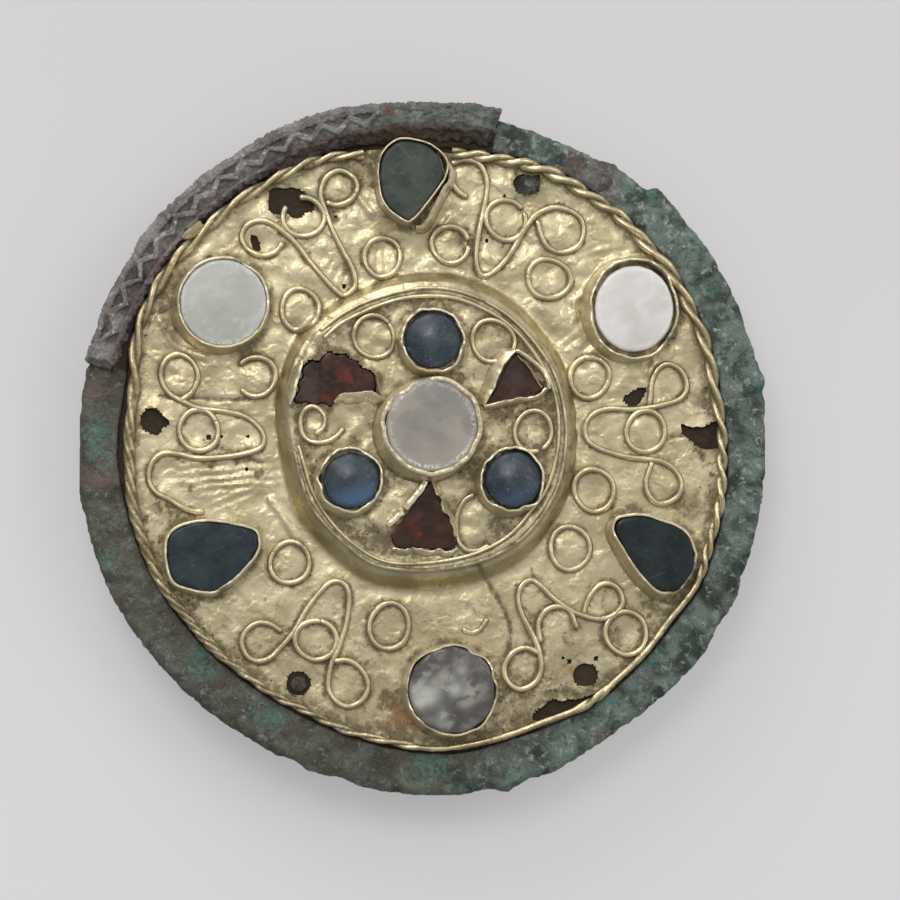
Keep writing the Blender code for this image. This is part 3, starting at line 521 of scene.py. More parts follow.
# Materials
class Graph:
    """A material's nodes. place is the point on the object in millimetres."""

    def __init__(self, name, roughness, metallic, **uniform):
        self.material = bpy.data.materials.new(name)
        self.material.use_nodes = True
        self.tree = self.material.node_tree
        self.shader = self.tree.nodes["Principled BSDF"]
        self.set("Roughness", roughness)
        self.set("Metallic", metallic)
        for socket, value in uniform.items():
            self.set(socket.replace("_", " "), value)
        coordinates = self.tree.nodes.new("ShaderNodeTexCoord").outputs["Object"]
        self.place = self.stretched((1 / MM,) * 3, coordinates)

    def set(self, socket, value):
        if isinstance(value, bpy.types.NodeSocket):
            self.tree.links.new(value, self.shader.inputs[socket])
        else:
            self.shader.inputs[socket].default_value = value

    def add(self, kind, output, inputs, **settings):
        node = self.tree.nodes.new(kind)
        for key, value in settings.items():
            setattr(node, key, value)
        for key, value in inputs.items():
            if isinstance(value, bpy.types.NodeSocket):
                self.tree.links.new(value, node.inputs[key])
            else:
                node.inputs[key].default_value = value
        return node.outputs[output]

    def stretched(self, scale, vector=None):
        inputs = {0: vector or self.place, 1: scale}
        return self.add("ShaderNodeVectorMath", 0, inputs, operation="MULTIPLY")

    def noise(self, size, detail, distortion=0.0, place=None):
        inputs = {"Vector": place or self.place, "Scale": 1 / size}
        inputs |= {"Detail": detail, "Distortion": distortion}
        return self.add("ShaderNodeTexNoise", "Fac", inputs)

    def vertex(self, name):
        return self.add("ShaderNodeAttribute", "Fac", {}, attribute_name=name)

    def step(self, value, start, end, low=0.0, high=1.0):
        inputs = {"Value": value, "From Min": start, "From Max": end, "To Min": low, "To Max": high}
        return self.add("ShaderNodeMapRange", 0, inputs, interpolation_type="SMOOTHSTEP")

    def math(self, operation, a, b=0.0):
        return self.add("ShaderNodeMath", 0, {0: a, 1: b}, operation=operation, use_clamp=True)

    def mix(self, share, first, second):
        colours = [c if isinstance(c, bpy.types.NodeSocket) else (*c, 1) for c in (first, second)]
        return self.add("ShaderNodeMix", 2, {0: share, 6: colours[0], 7: colours[1]}, data_type="RGBA")

    def patched(self, colour, noise, start, end, strength, patch):
        """A colour with patches of another, where a noise (size, detail, distortion) is past start."""
        return self.mix(self.step(self.noise(*noise), start, end, 0.0, strength), colour, patch)

    def bump(self, height, depth, before=None):
        """Relief of this depth in millimetres."""
        inputs = {"Height": height, "Distance": depth * MM, "Strength": 1.0}
        if before:
            inputs["Normal"] = before
        return self.add("ShaderNodeBump", "Normal", inputs)

    def done(self, colour, normal):
        self.set("Base Color", colour)
        self.set("Normal", normal)
        return self.material


# The first colour is earth, also used for painted shade on the gold
EARTH_AND_SHADE, TARNISH, CRUMB = (0.125, 0.088, 0.037), (0.30, 0.165, 0.065), (0.055, 0.04, 0.022)


def gold(name, light, deep, grime, relief, metal=1.0, rough=(0.22, 0.42)):
    """Pale gold: crumpled, brighter and duller by turns, with earth and painted shade where its vertex
    attribute says.
    """
    g = Graph(name, 0.4, 1.0)
    fine = g.noise(0.32, 4.0)
    colour = g.patched(deep, (2.8, 4.0, 0.4), 0.36, 0.64, 1.0, light)
    soil_and_shade = g.math("ADD", g.vertex("dirt"), g.step(g.noise(1.5, 6.0, 0.8), 0.52, 0.80, 0.0, grime))
    soil_and_shade = g.math("MULTIPLY", soil_and_shade, g.step(g.noise(0.6, 6.0, 0.5), 0.28, 0.68, 0.45, 1.15))
    soil_and_shade = g.step(soil_and_shade, 0.0, 1.0)
    colour = g.mix(g.math("MULTIPLY", soil_and_shade, 0.86), colour, EARTH_AND_SHADE)
    colour = g.mix(g.vertex("tarnish"), colour, TARNISH)
    crumbs = g.math("ADD", 0.12, g.math("MULTIPLY", soil_and_shade, 1.3))
    crumbs = g.math("MULTIPLY", g.step(g.noise(0.22, 4.0), 0.58, 0.68), crumbs)
    colour = g.mix(crumbs, colour, CRUMB)
    g.set("Roughness", g.math("ADD", g.step(fine, 0.3, 0.75, *rough), g.math("MULTIPLY", soil_and_shade, 0.35)))
    g.set("Metallic", g.math("SUBTRACT", metal, g.math("MULTIPLY", soil_and_shade, 0.6)))
    crease = g.math("ABSOLUTE", g.math("SUBTRACT", g.noise(1.6, 2.0, 0.1), 0.5))
    normal = g.bump(g.step(crease, 0.0, 0.16), relief * 0.8, g.bump(g.noise(0.9, 3.0, 0.3), relief))
    return g.done(colour, g.bump(fine, relief * 0.25, normal))


def corroded(name, slot_colours, patches, relief):
    """Corroded bronze: mottled, granular and dull, with patches that attributes place."""
    g = Graph(name, 0.75, 0.15, Specular_IOR_Level=0.22)
    dark, mid, pale = slot_colours
    colour = g.patched(dark, (2.2, 6.0, 0.5), 0.34, 0.62, 1.0, mid)
    colour = g.patched(colour, (0.55, 6.0, 0.6), 0.52, 0.72, 0.85, pale)
    colour = g.patched(colour, (0.8, 6.0, 0.6, g.stretched((1.0, 1.0, 0.7))), 0.47, 0.31, 0.72, dark)
    # The patches have broken edges, finer for some than for the others
    broken = g.step(g.noise(1.1, 8.0, 0.4), 0.35, 0.65, -0.55, 0.3)
    finer = {"soot": g.step(g.noise(0.55, 6.0), 0.35, 0.65, -0.25, 0.2),
             "worn": g.step(g.noise(0.5, 6.0, 0.3), 0.35, 0.65, -0.65, 0.3),
             "teal": g.step(g.noise(0.45, 6.0, 0.6), 0.38, 0.62, -0.9, 0.4)}
    for attribute, patch, strength in patches:
        edge = g.math("ADD", g.vertex(attribute), finer.get(attribute, broken))
        share = g.step(g.vertex(attribute), 0.03, 0.3, 0.0, strength)
        colour = g.mix(g.math("MULTIPLY", edge, share), colour, patch)
    grain = g.noise(0.16, 4.0)
    colour = g.mix(g.step(grain, 0.42, 0.3, 0.0, 0.45), colour, (0.012, 0.012, 0.011))
    g.set("Roughness", g.step(grain, 0.3, 0.7, 0.85, 0.5))
    normal = g.bump(g.noise(0.9, 6.0, 0.3), relief * 1.6)
    return g.done(colour, g.bump(grain, relief, normal))


def scratched(name, colour, sheen, strength):
    """A dark polished table, with fine scratches and a few dull specks."""
    g = Graph(name, 0.3, 0.0, Specular_IOR_Level=0.25)
    streaks = []
    for degrees, scale in ((-24, (0.45, 8.0, 1.0)), (40, (0.5, 9.0, 1.0))):
        turned = {"Vector": g.place, "Angle": math.radians(degrees)}
        slant = g.add("ShaderNodeVectorRotate", 0, turned, rotation_type="Z_AXIS")
        streak = g.noise(1.0, 3.0, 0.5, g.stretched(scale, slant))
        streaks.append(g.step(streak, 0.63, 0.75, 0.0, strength))
    lines = g.math("ADD", *streaks)
    base = g.patched(colour, (1.6, 4.0), 0.3, 0.7, 1.0, sheen)
    base = g.mix(lines, base, tuple(3.2 * c + 0.02 for c in sheen))
    base = g.patched(base, (0.12, 2.0), 0.74, 0.8, 1.0, (0.45, 0.5, 0.48))
    g.set("Roughness", g.step(g.noise(0.7, 4.0), 0.3, 0.7, 0.2, 0.42))
    return g.done(base, g.bump(lines, 0.006, g.bump(g.noise(1.8, 3.0), 0.03)))


def milky(name, colours, margin, gloss):
    """A pale stone with clouds in it and a speckled, whiter margin that the margin attribute places."""
    g = Graph(name, gloss, 0.0, Subsurface_Weight=0.25, Subsurface_Scale=0.0006, Coat_Weight=0.3,
              Coat_Roughness=0.15)
    g.set("Subsurface Radius", (1.0, 1.0, 1.0))
    colour = g.patched(colours[0], (4.5, 3.0, 0.4), 0.36, 0.62, 1.0, colours[1])
    colour = g.patched(colour, (1.5, 6.0, 0.5), 0.5, 0.72, 0.45, colours[2])
    speck = g.step(g.noise(0.22, 4.0), 0.42, 0.56)
    colour = g.mix(g.math("MULTIPLY", g.vertex("margin"), speck), colour, margin)
    colour = g.patched(colour, (0.13, 2.0), 0.72, 0.78, 0.6, (0.9, 0.9, 0.88))
    return g.done(colour, g.bump(g.noise(0.5, 5.0), 0.012, g.bump(g.noise(1.6, 3.0), 0.04)))


def crystal(name):
    """A grey crystal with pale clouds and darker depths in it."""
    g = Graph(name, 0.2, 0.0, Specular_IOR_Level=0.4)
    flakes = g.add("ShaderNodeTexVoronoi", "Color", {"Vector": g.place, "Scale": 0.5}, feature="SMOOTH_F1")
    tone = g.add("ShaderNodeSeparateColor", 0, {0: flakes})
    colour = g.mix(g.step(tone, 0.2, 0.8), (0.085, 0.078, 0.068), (0.33, 0.312, 0.275))
    colour = g.patched(colour, (2.6, 6.0, 0.6), 0.52, 0.64, 0.5, (0.40, 0.40, 0.36))
    colour = g.patched(colour, (1.5, 6.0, 0.8), 0.52, 0.64, 0.8, (0.075, 0.068, 0.058))
    colour = g.mix(g.vertex("cloud"), colour, (0.56, 0.58, 0.52))
    colour = g.mix(g.vertex("margin"), colour, (0.10, 0.09, 0.075))
    return g.done(colour, g.bump(g.noise(1.2, 4.0, 0.5), 0.05))


def blue_glass(name):
    """Blue glass with a painted highlight near the light and a painted glow on the far side."""
    g = Graph(name, 0.3, 0.0, Specular_IOR_Level=0.4)
    colour = g.patched((0.018, 0.027, 0.036), (1.4, 4.0), 0.3, 0.7, 1.0, (0.048, 0.062, 0.072))
    # Painted glow on the side away from the light, and a painted highlight near it
    colour = g.mix(g.vertex("glow"), colour, (0.085, 0.15, 0.25))
    colour = g.mix(g.vertex("haze"), colour, (0.17, 0.19, 0.24))
    colour = g.patched(colour, (0.2, 4.0, 1.0), 0.6, 0.72, 0.5, (0.25, 0.30, 0.33))
    g.set("Roughness", g.step(g.noise(0.5, 5.0), 0.35, 0.7, 0.25, 0.5))
    return g.done(colour, g.bump(g.noise(0.7, 4.0), 0.03))


def garnet_glass(name):
    """Deep brown-red, flaked, with sparks of red where the light comes through."""
    g = Graph(name, 0.3, 0.0, Specular_IOR_Level=0.25)
    colour = g.patched((0.029, 0.013, 0.008), (1.8, 4.0, 0.8), 0.36, 0.66, 1.0, (0.063, 0.023, 0.013))
    spark = g.math("MULTIPLY", g.vertex("spark"), g.step(g.noise(0.7, 4.0, 0.5), 0.35, 0.65))
    colour = g.mix(spark, colour, (0.17, 0.022, 0.014))
    colour = g.mix(g.math("MULTIPLY", g.vertex("flake"), 0.7), colour, (0.075, 0.055, 0.052))
    g.set("Roughness", g.step(g.noise(0.6, 5.0), 0.3, 0.7, 0.16, 0.5))
    return g.done(colour, g.bump(g.noise(1.2, 4.0, 0.5), 0.05))


def plain_floor(name):
    """A pale light table, with painted shade that darkens it towards +Y."""
    g = Graph(name, 0.9, 0.0, Emission_Strength=0.31, Specular_IOR_Level=0.1)
    g.set("Emission Color", (0.98, 0.96, 0.96, 1.0))
    # Painted shade: the table darkens towards +Y
    upward = g.add("ShaderNodeSeparateXYZ", 1, {0: g.place})
    colour = g.mix(g.step(upward, -45.0, 45.0), (0.435, 0.425, 0.425), (0.365, 0.352, 0.358))
    colour = g.patched(colour, (60.0, 2.0), 0.3, 0.7, 0.2, (0.42, 0.41, 0.41))
    return g.done(colour, g.bump(g.noise(0.8, 3.0), 0.004))


GOLD_SHEET = gold("pale_gold_sheet", (0.66, 0.572, 0.364), (0.485, 0.414, 0.242), 0.5, 0.045, 0.86,
                  (0.28, 0.48))
GOLD_WIRE = gold("pale_gold_wire", (0.68, 0.585, 0.37), (0.51, 0.43, 0.26), 0.35, 0.02, 1.0, (0.26, 0.48))
GOLD_ROPE = gold("pale_gold_rope", (0.70, 0.60, 0.37), (0.46, 0.38, 0.22), 0.5, 0.03)
GOLD_BEZEL = gold("pale_gold_strip", (0.79, 0.70, 0.49), (0.64, 0.56, 0.37), 0.2, 0.02, 0.76, (0.26, 0.46))
# On both bronzes the darkest patch is dark earth together with painted shadow
BRONZE = corroded("corroded_bronze", ((0.040, 0.049, 0.041), (0.162, 0.198, 0.166), (0.34, 0.395, 0.34)), [
    ("brown", (0.094, 0.077, 0.055), 0.72), ("rose", (0.17, 0.115, 0.105), 0.6),
    ("teal", (0.085, 0.225, 0.18), 0.55), ("soot", (0.050, 0.033, 0.020), 1.7)], 0.1)
GREY_BRONZE = corroded("grey_bronze", ((0.135, 0.125, 0.113), (0.245, 0.232, 0.214), (0.36, 0.35, 0.328)), [
    ("green", (0.085, 0.105, 0.085), 0.8), ("mauve", (0.21, 0.17, 0.172), 0.8),
    ("rose", (0.15, 0.062, 0.052), 0.6), ("worn", (0.56, 0.55, 0.53), 0.85),
    ("soot", (0.062, 0.045, 0.036), 1.0)], 0.06)
STONES = {
    "top": scratched("green_table", (0.039, 0.047, 0.042), (0.066, 0.079, 0.063), 0.4),
    "lower_left": scratched("navy_table", (0.014, 0.022, 0.027), (0.032, 0.044, 0.050), 0.3),
    "lower_right": scratched("teal_table", (0.008, 0.013, 0.014), (0.018, 0.027, 0.027), 0.3),
    "upper_left": milky("pale_shell", ((0.41, 0.43, 0.36), (0.50, 0.50, 0.45), (0.64, 0.61, 0.60)),
                        (0.74, 0.71, 0.68), 0.35),
    "upper_right": milky("white_shell", ((0.63, 0.60, 0.555), (0.75, 0.72, 0.68), (0.86, 0.84, 0.815)),
                         (0.85, 0.83, 0.8), 0.3),
    "centre": milky("milky_stone", ((0.24, 0.22, 0.20), (0.37, 0.33, 0.262), (0.36, 0.325, 0.28)),
                    (0.78, 0.74, 0.72), 0.35),
    "bottom": crystal("grey_crystal"),
}
BLUE = blue_glass("blue_glass")
GARNET = garnet_glass("garnet")


def above_gold(start=0.05, end=0.34):
    """Earth on the lower part of what stands on the gold."""
    return lambda corners: 0.9 * (1 - ramp(start, end, corners[:, 2] - surface(corners)))


# The back plate
PLATE_STEPS = 720
PLATE_REACH = 30.15
# The plate's edge from below: how far in from the rim, and how high
PLATE_EDGE = [(0.22, BACK_Z + 0.14), (0.05, BACK_Z + 0.4), (0.0, BACK_Z + 0.9), (0.03, PLATE_TOP - 0.6),
              (0.16, PLATE_TOP - 0.34), (0.40, PLATE_TOP - 0.17)]
PLATE_BACK_INSET, PLATE_SHOULDER, PLATE_LIP = 0.55, 0.75, 0.1
RIGHT_GROWTH = 0.36
TEAL_PX = [(95, 435, 15), (98, 452, 9), (200, 665, 15), (270, 715, 16), (430, 762, 18), (648, 655, 14),
    (612, 700, 10), (652, 190, 9), (108, 560, 8), (520, 780, 12), (713, 290, 6), (764, 385, 6)]
ROSE_PX = [(98, 482, 20), (92, 385, 16), (600, 176, 24), (575, 165, 16), (640, 665, 12), (601, 738, 9)]
CLEAN_PX = [(527, 181, 16)]
SOOT_PX = [(292, 208, 22), (575, 704, 26), (530, 722, 24), (165, 306, 12), (156, 422, 14), (254, 244, 10),
    (700, 440, 10), (635, 397, 10), (299, 683, 14), (586, 675, 14)]


def edge_radius(turns):
    """How far the plate reaches in each direction, from the frame's own node."""
    corners = node_corners("back_plate")
    half_up = np.abs(corners[:, 2] - (BACK_Z + PLATE_TOP) / 2) < 0.7
    ring = half_up & (from_middle(corners) > RECESS_RADIUS + 1)
    return reach_of(corners[ring, :2], turns)


def back_plate():
    """A corroded disc with a rounded edge and a shallow recess under the gold, ring by ring from its back."""
    turns = full_turn(PLATE_STEPS)
    ways = bearing(turns)
    burrs = 0.10 * lumps(ways * 30, 1.1, 3, 11) + 0.10 * lumps(ways * 30, 0.45, 3, 14)
    right = ramp(-0.9, 0.2, ways[:, 0]) * ramp(-0.7, 0.5, ways[:, 1])
    rim = edge_radius(turns) + np.minimum(burrs - 0.07, 0.0) + RIGHT_GROWTH * right
    rim = np.minimum(rim, PLATE_REACH / np.abs(ways).max(1))
    brink = recess_radius(turns) + 0.05 * lumps(ways * 27, 1.2, 3, 16)
    band = brink + PLATE_LIP - rim + PLATE_SHOULDER
    rings = [(share * (rim - PLATE_BACK_INSET), BACK_Z + 0.06) for share in np.linspace(0.01, 1, 30)]
    rings += [(rim - inset, z) for inset, z in PLATE_EDGE]
    rings += [(rim - PLATE_SHOULDER + band * share, PLATE_TOP - 0.07) for share in np.linspace(0, 1, 16)]
    rings += [(brink, PLATE_TOP - 0.16), (brink - 0.08, FLOOR_Z)]
    rings += [(share * (brink - 0.2), FLOOR_Z) for share in np.linspace(1, 0.01, 30)]
    grid = np.stack([raised(ways * radius[:, None], z) for radius, z in rings])
    flat = grid.reshape(-1, 3)
    rough = 0.13 * lumps(flat, 1.6, 4, 12) + 0.06 * lumps(flat, 0.5, 3, 13)
    inner = ramp(0.3, -0.3, from_middle(flat) - np.tile(brink, len(rings)))
    upper = ramp(BACK_Z + 0.8, PLATE_TOP - 0.5, flat[:, 2])
    above, below = np.minimum(rough, 0.06) * (1 - 0.7 * inner), np.maximum(-rough, -0.05) * 0.6
    flat[:, 2] += np.where(upper > 0.5, above, below)
    upper = ramp(BACK_Z + 0.6, PLATE_TOP - 0.8, flat[:, 2])
    away = from_middle(flat)
    piece("corroded_plate", [loft(grid)], BRONZE, "plate_bronze", "back_plate", crease=60,
          brown=plate_brown(flat, away, upper), rose=spots(flat, ROSE_PX) * upper,
          teal=plate_teal(flat, away), soot=plate_soot(flat, away, upper))


def plate_brown(points, away, upper):
    side = ramp(12, -16, points[:, 0] + 0.35 * points[:, 1])
    inner = 0.5 * ramp(29.0, 27.0, away)
    left = 0.3 * ramp(-23, -14, points[:, 1]) * ramp(8, 2, points[:, 1])
    return (1.1 + inner + left) * side + 0.4 * (1 - upper) - 0.25


def plate_soot(points, away, upper):
    """Dark earth and painted shadow in the groove round the gold and beside the strip, and dark earth where
    the gold is torn.
    """
    turn = turn_of(points)
    past_edge = away - recess_radius(turn)
    groove = 0.75 * ramp(0.25, -0.25, past_edge)
    beside_strip = 0.95 * ramp(28.2, 27.6, away) * (turn > STRIP_TURNS[1]) * (turn < STRIP_TURNS[0])
    torn = 1.2 * spots(points, SOOT_PX) * ramp(0.1, -0.1, past_edge)
    dark = np.maximum(np.maximum(groove, beside_strip), torn)
    return dark * upper * (1 - 0.9 * spots(points, CLEAN_PX))


def plate_teal(points, away):
    fringe = 0.4 * ramp(0.0, 0.35, lumps(points, 3.0, 3, 15)) * ramp(28.6, 29.8, away)
    return np.maximum(spots(points, TEAL_PX), fringe * ramp(-24, 10, points[:, 0]))


# The punched strip
STRIP_TURNS = (math.radians(165.4), math.radians(77.3))
# From the plate's middle: the strip's inner foot, its crest, and its outer wall inside and outside
STRIP_FOOT, STRIP_CREST, STRIP_INSIDE, STRIP_OUTSIDE = 27.55, 28.35, 30.10, 30.79
STRIP_LIMIT = 30.76
STRIP_MIDDLE = 29.3
# How far the strip reaches from the plate's middle, by direction in degrees
STRIP_REACH_PX = [(77, 352), (85, 352), (88, 352), (91, 350), (98, 351), (104, 353.5), (109, 354.5),
    (117, 354), (123, 351), (127, 353), (133, 353), (140, 354.5), (144, 353.5), (147, 350.5), (156, 351),
    (160, 348.5), (166, 350)]
STRIP_STEPS = 520
ZIGZAG_TURNS = (math.radians(161), math.radians(98))
ZIGZAG_PITCH = 2.5
ZIGZAG_DEPTH = 0.28
INNER_EDGE_JAG, END_JAG = 0.011, 0.011
END_SINK, LUMPY_END_DEPTH = 0.55, 0.22
RUST_PX = [(106, 315, 9), (163, 266, 6), (172, 254, 4), (118, 300, 5), (388, 110, 6), (345, 118, 5)]


def strip_profile(lowest, top, under):
    """The strip's cross-section, as distance from the plate's middle and height, from its outer foot."""
    inside_r, outside_r, crest, foot = STRIP_INSIDE, STRIP_OUTSIDE, STRIP_CREST, STRIP_FOOT
    side = [(inside_r, lowest + 0.03), (inside_r + 0.35, lowest)]
    side += [(outside_r - 0.02, lowest + 0.05 + (top - 0.45 - lowest) * s) for s in np.linspace(0, 1, 8)]
    side += [(outside_r - 0.10, top - 0.24), (outside_r - 0.28, top - 0.08)]
    face = [(r, top - 0.04) for r in np.linspace(outside_r - 0.42, crest + 0.12, 34)]
    slope = [(crest - 0.02, top - 0.12)]
    for s in np.linspace(0, 1, 9):
        slope.append((crest - 0.10 + (foot - crest + 0.10) * s, top - 0.25 - (top - 0.25 - under - 0.1) * s))
    below = [(foot + 0.1, under), (foot + 1.2, under), (inside_r, under), (inside_r, under - 0.7)]
    return np.array(side + face + slope + below)


def rim_strip():
    """The strip's punched top is a raised zigzag between two rows of sunk triangles."""
    lowest, top, under = low("rim_strip"), high("rim_strip"), low("scroll_left")
    crest, outside_r = STRIP_CREST, STRIP_OUTSIDE
    share = np.linspace(0, 1, STRIP_STEPS)[:, None]
    turns = STRIP_TURNS[0] + (STRIP_TURNS[1] - STRIP_TURNS[0]) * share
    grid = np.broadcast_arrays(*strip_profile(lowest, top, under).T, turns, share)
    radius, z, turns, share = (values.ravel() for values in grid)
    # Outline: a lower left part whose foot reaches less far in, the uneven reach and the jagged ends
    plump = ramp(1.95, 2.2, turns)
    radius = radius + (0.48 * plump - 0.1) * ramp(crest, STRIP_FOOT, radius)
    reach = np.interp(np.degrees(turns), *zip(*STRIP_REACH_PX)) * PIXEL + 0.1
    reach = np.minimum(reach, STRIP_LIMIT / np.sin(turns)) - outside_r
    radius = radius + reach * ramp(crest, outside_r, radius)
    across = (radius - crest) / (outside_r - 0.3 - crest)
    jag = END_JAG * lumps(np.stack([across * 3, np.zeros(len(across))], -1), 0.9, 3, 21)
    turns = turns + jag * (ramp(0.06, 0.0, share) + ramp(0.94, 1.0, share))
    # Punched rows on both sides of a zigzag ridge
    run = turns * STRIP_MIDDLE
    wave = np.abs(((run / ZIGZAG_PITCH) % 1) * 2 - 1)
    ridge = 0.32 + 0.42 * wave + 0.04 * np.sin(run * 0.9) + 0.03 * np.sin(run * 2.3)
    beside = np.abs(across - ridge) * (outside_r - crest) * 0.72
    first, last = ZIGZAG_TURNS
    punched = ramp(first + 0.03, first - 0.03, turns) * ramp(last - 0.05, last + 0.06, turns)
    punched = punched * (z > top - 0.3)
    rows = ramp(0.05, 0.14, across) * ramp(0.90, 0.78, across)
    uneven = lumps(np.stack([run * 0.5, across * 0.8], -1), 1.0, 3, 24)
    sunk = ramp(0.20, 0.34, beside + 0.10 * uneven) * rows * punched * (1 + 0.8 * uneven)
    points = np.stack([radius * np.cos(turns), radius * np.sin(turns), z], -1)
    inner_edge = ramp(crest + 0.3, crest - 0.1, radius) * (z > under + 0.05)
    points[:, :2] *= (1 + INNER_EDGE_JAG * lumps(points, 0.6, 3, 29) * inner_edge)[:, None]
    # Corrosion on its top, a lumpy end at the right, burrs on its wall and blunt ends
    rough = 0.09 * lumps(points, 1.0, 4, 22) + 0.04 * lumps(points, 0.3, 2, 23)
    rough += 0.08 * lumps(np.stack([run * 0.45, across * 4], -1), 1.0, 3, 25)
    rough -= LUMPY_END_DEPTH * ramp(0.0, 0.5, lumps(points, 1.1, 3, 30)) * ramp(1.72, 1.6, turns)
    upper = ramp(under + 0.2, top - 0.3, points[:, 2])
    points[:, 2] += np.minimum(rough - 0.03, 0.03) * upper - ZIGZAG_DEPTH * sunk
    burr = 0.04 + 0.16 * lumps(points, 0.8, 4, 26) + 0.35 * np.abs(lumps(points, 0.5, 3, 27))
    pull = 1 - np.maximum(burr, 0) / 30.8 * ramp(29.5, 30.6, from_middle(points))
    points[:, :2] *= pull[:, None]
    points[:, 2] -= END_SINK * (ramp(0.985, 1.0, share) + ramp(0.012, 0.0, share)) * (z > under + 0.3)
    fleck = ramp(0.05, 0.3, lumps(np.stack([run, across * 2], -1), 0.35, 3, 28))
    bright = punched * ramp(0.02, 0.2, across) * ramp(1.1, 0.9, across) * ramp(0.45, 0.12, beside) * fleck
    # Painted shadow on the strip's inner wall; the sunk triangles are darkened too
    wall = ramp(29.15, 28.45, radius) * (1 - plump) + 0.45 * ramp(28.25, 28.05, radius) * plump
    outer = ramp(30.2, 30.6, radius)
    whole = loft(points.reshape(STRIP_STEPS, -1, 3))
    piece("punched_strip", [whole], GREY_BRONZE, "rim_strip_bronze", "rim_strip", crease=70,
          green=ramp(2.0, 1.5, turns) * 0.9 + 0.1, rose=spots(points, RUST_PX),
          worn=0.5 * bright + 0.12 * outer * ramp(1.5, 2.1, turns),
          soot=np.maximum(0.5 * sunk, 0.95 * wall),
          mauve=ramp(29.0, 28.6, from_middle(points)) * ramp(1.7, 2.0, turns))


# The gold sheet
TARNISH_PX = [(400, 716, 12), (418, 722, 9), (721, 497, 9), (571, 669, 4), (150, 408, 5), (170, 250, 7),
    (355, 150, 6), (218, 211, 5)]
# Stains on the gold; the row from (502, 728) to (545, 710), between the bottom stone and the rope, is painted
# shadow
STAINS_AND_SHADOWS_PX = [(163, 307, 7), (398, 705, 12), (504, 670, 9), (300, 405, 12), (502, 728, 11), (516, 722, 12),
    (530, 716, 12), (545, 710, 14), (600, 690, 10), (178, 305, 22), (170, 330, 14), (360, 175, 16),
    (350, 150, 14), (480, 150, 14), (465, 240, 14), (395, 735, 22), (520, 690, 18), (612, 700, 20),
    (690, 505, 20), (610, 640, 10), (560, 700, 22), (245, 455, 12), (705, 400, 16), (690, 265, 12),
    (540, 150, 10), (330, 205, 12), (400, 220, 18), (628, 512, 16), (655, 600, 14), (699, 588, 9),
    (686, 603, 10), (245, 350, 12), (176, 520, 12), (385, 545, 12)]
CRUMBS_PX = [(185, 463, 7), (206, 465, 7), (243, 463, 7), (259, 473, 6), (272, 478, 6), (162, 504, 9),
    (152, 530, 11), (188, 489, 7), (197, 599, 9), (347, 207, 9), (337, 213, 7), (163, 306, 8),
    (345, 272, 8), (366, 147, 12), (280, 225, 10), (697, 455, 10), (711, 472, 8), (702, 543, 8),
    (645, 623, 8), (660, 640, 12), (715, 500, 14), (470, 250, 8), (500, 240, 8), (385, 700, 8),
    (230, 480, 10)]
FLAPS_PX = [
    [(181, 238), (182, 240), (187, 241), (196, 238), (206, 234), (209, 233), (208, 230), (202, 225),
        (200, 222), (198, 223), (189, 230)],
    [(200, 639), (202, 641), (208, 643), (215, 645), (216, 643), (212, 638), (206, 634), (204, 634)],
]
# Dark patches beside the boss's settings: earth and painted shade
SOIL_AND_SHADE_PX = [(470, 470, 14), (476, 490, 10), (385, 412, 12), (376, 425, 10), (345, 525, 12), (375, 540, 10),
    (468, 400, 12), (388, 380, 8), (450, 505, 10), (525, 395, 10), (545, 410, 12), (500, 412, 12),
    (320, 345, 8), (395, 470, 14), (355, 440, 8), (500, 525, 12), (460, 375, 10), (420, 303, 12),
    (310, 450, 8), (535, 350, 12), (372, 530, 12)]
PINHOLE = np.array([(0.09, 0), (0, 0.13), (-0.11, 0), (0, -0.1)]) * 1.9
PINHOLE_CURL, GARNET_HOLE_CURL, CURL_WIDTH = -0.04, 0.28, 0.45
HOLE_RAGGEDNESS = 0.035
CRACK_DEPTH = 0.11


def sheet_edge():
    """The gold's outer edge, just outside the rope's middle."""
    turns = full_turn(180)
    ways = bearing(turns)
    return SHEET_CENTRE + ways * (rope_radius(turns) + 0.05 + 0.06 * lumps(ways * 26, 2.0, 3, 31))[:, None]


def sheet_cuts():
    """Closed lines that cut the gold, how far each curls up, and 1 for a hole or -1 for the outer edge."""
    cuts = [(at(points), curl, 1) for points, curl in HOLES_PX.values()]
    cuts += [(at(GARNET_HOLE_PX, BOSS_Z), GARNET_HOLE_CURL, 1), (sheet_edge(), 0.0, -1)]
    return cuts + [(at(place) + PINHOLE, PINHOLE_CURL, 1) for place in PINHOLES_PX]


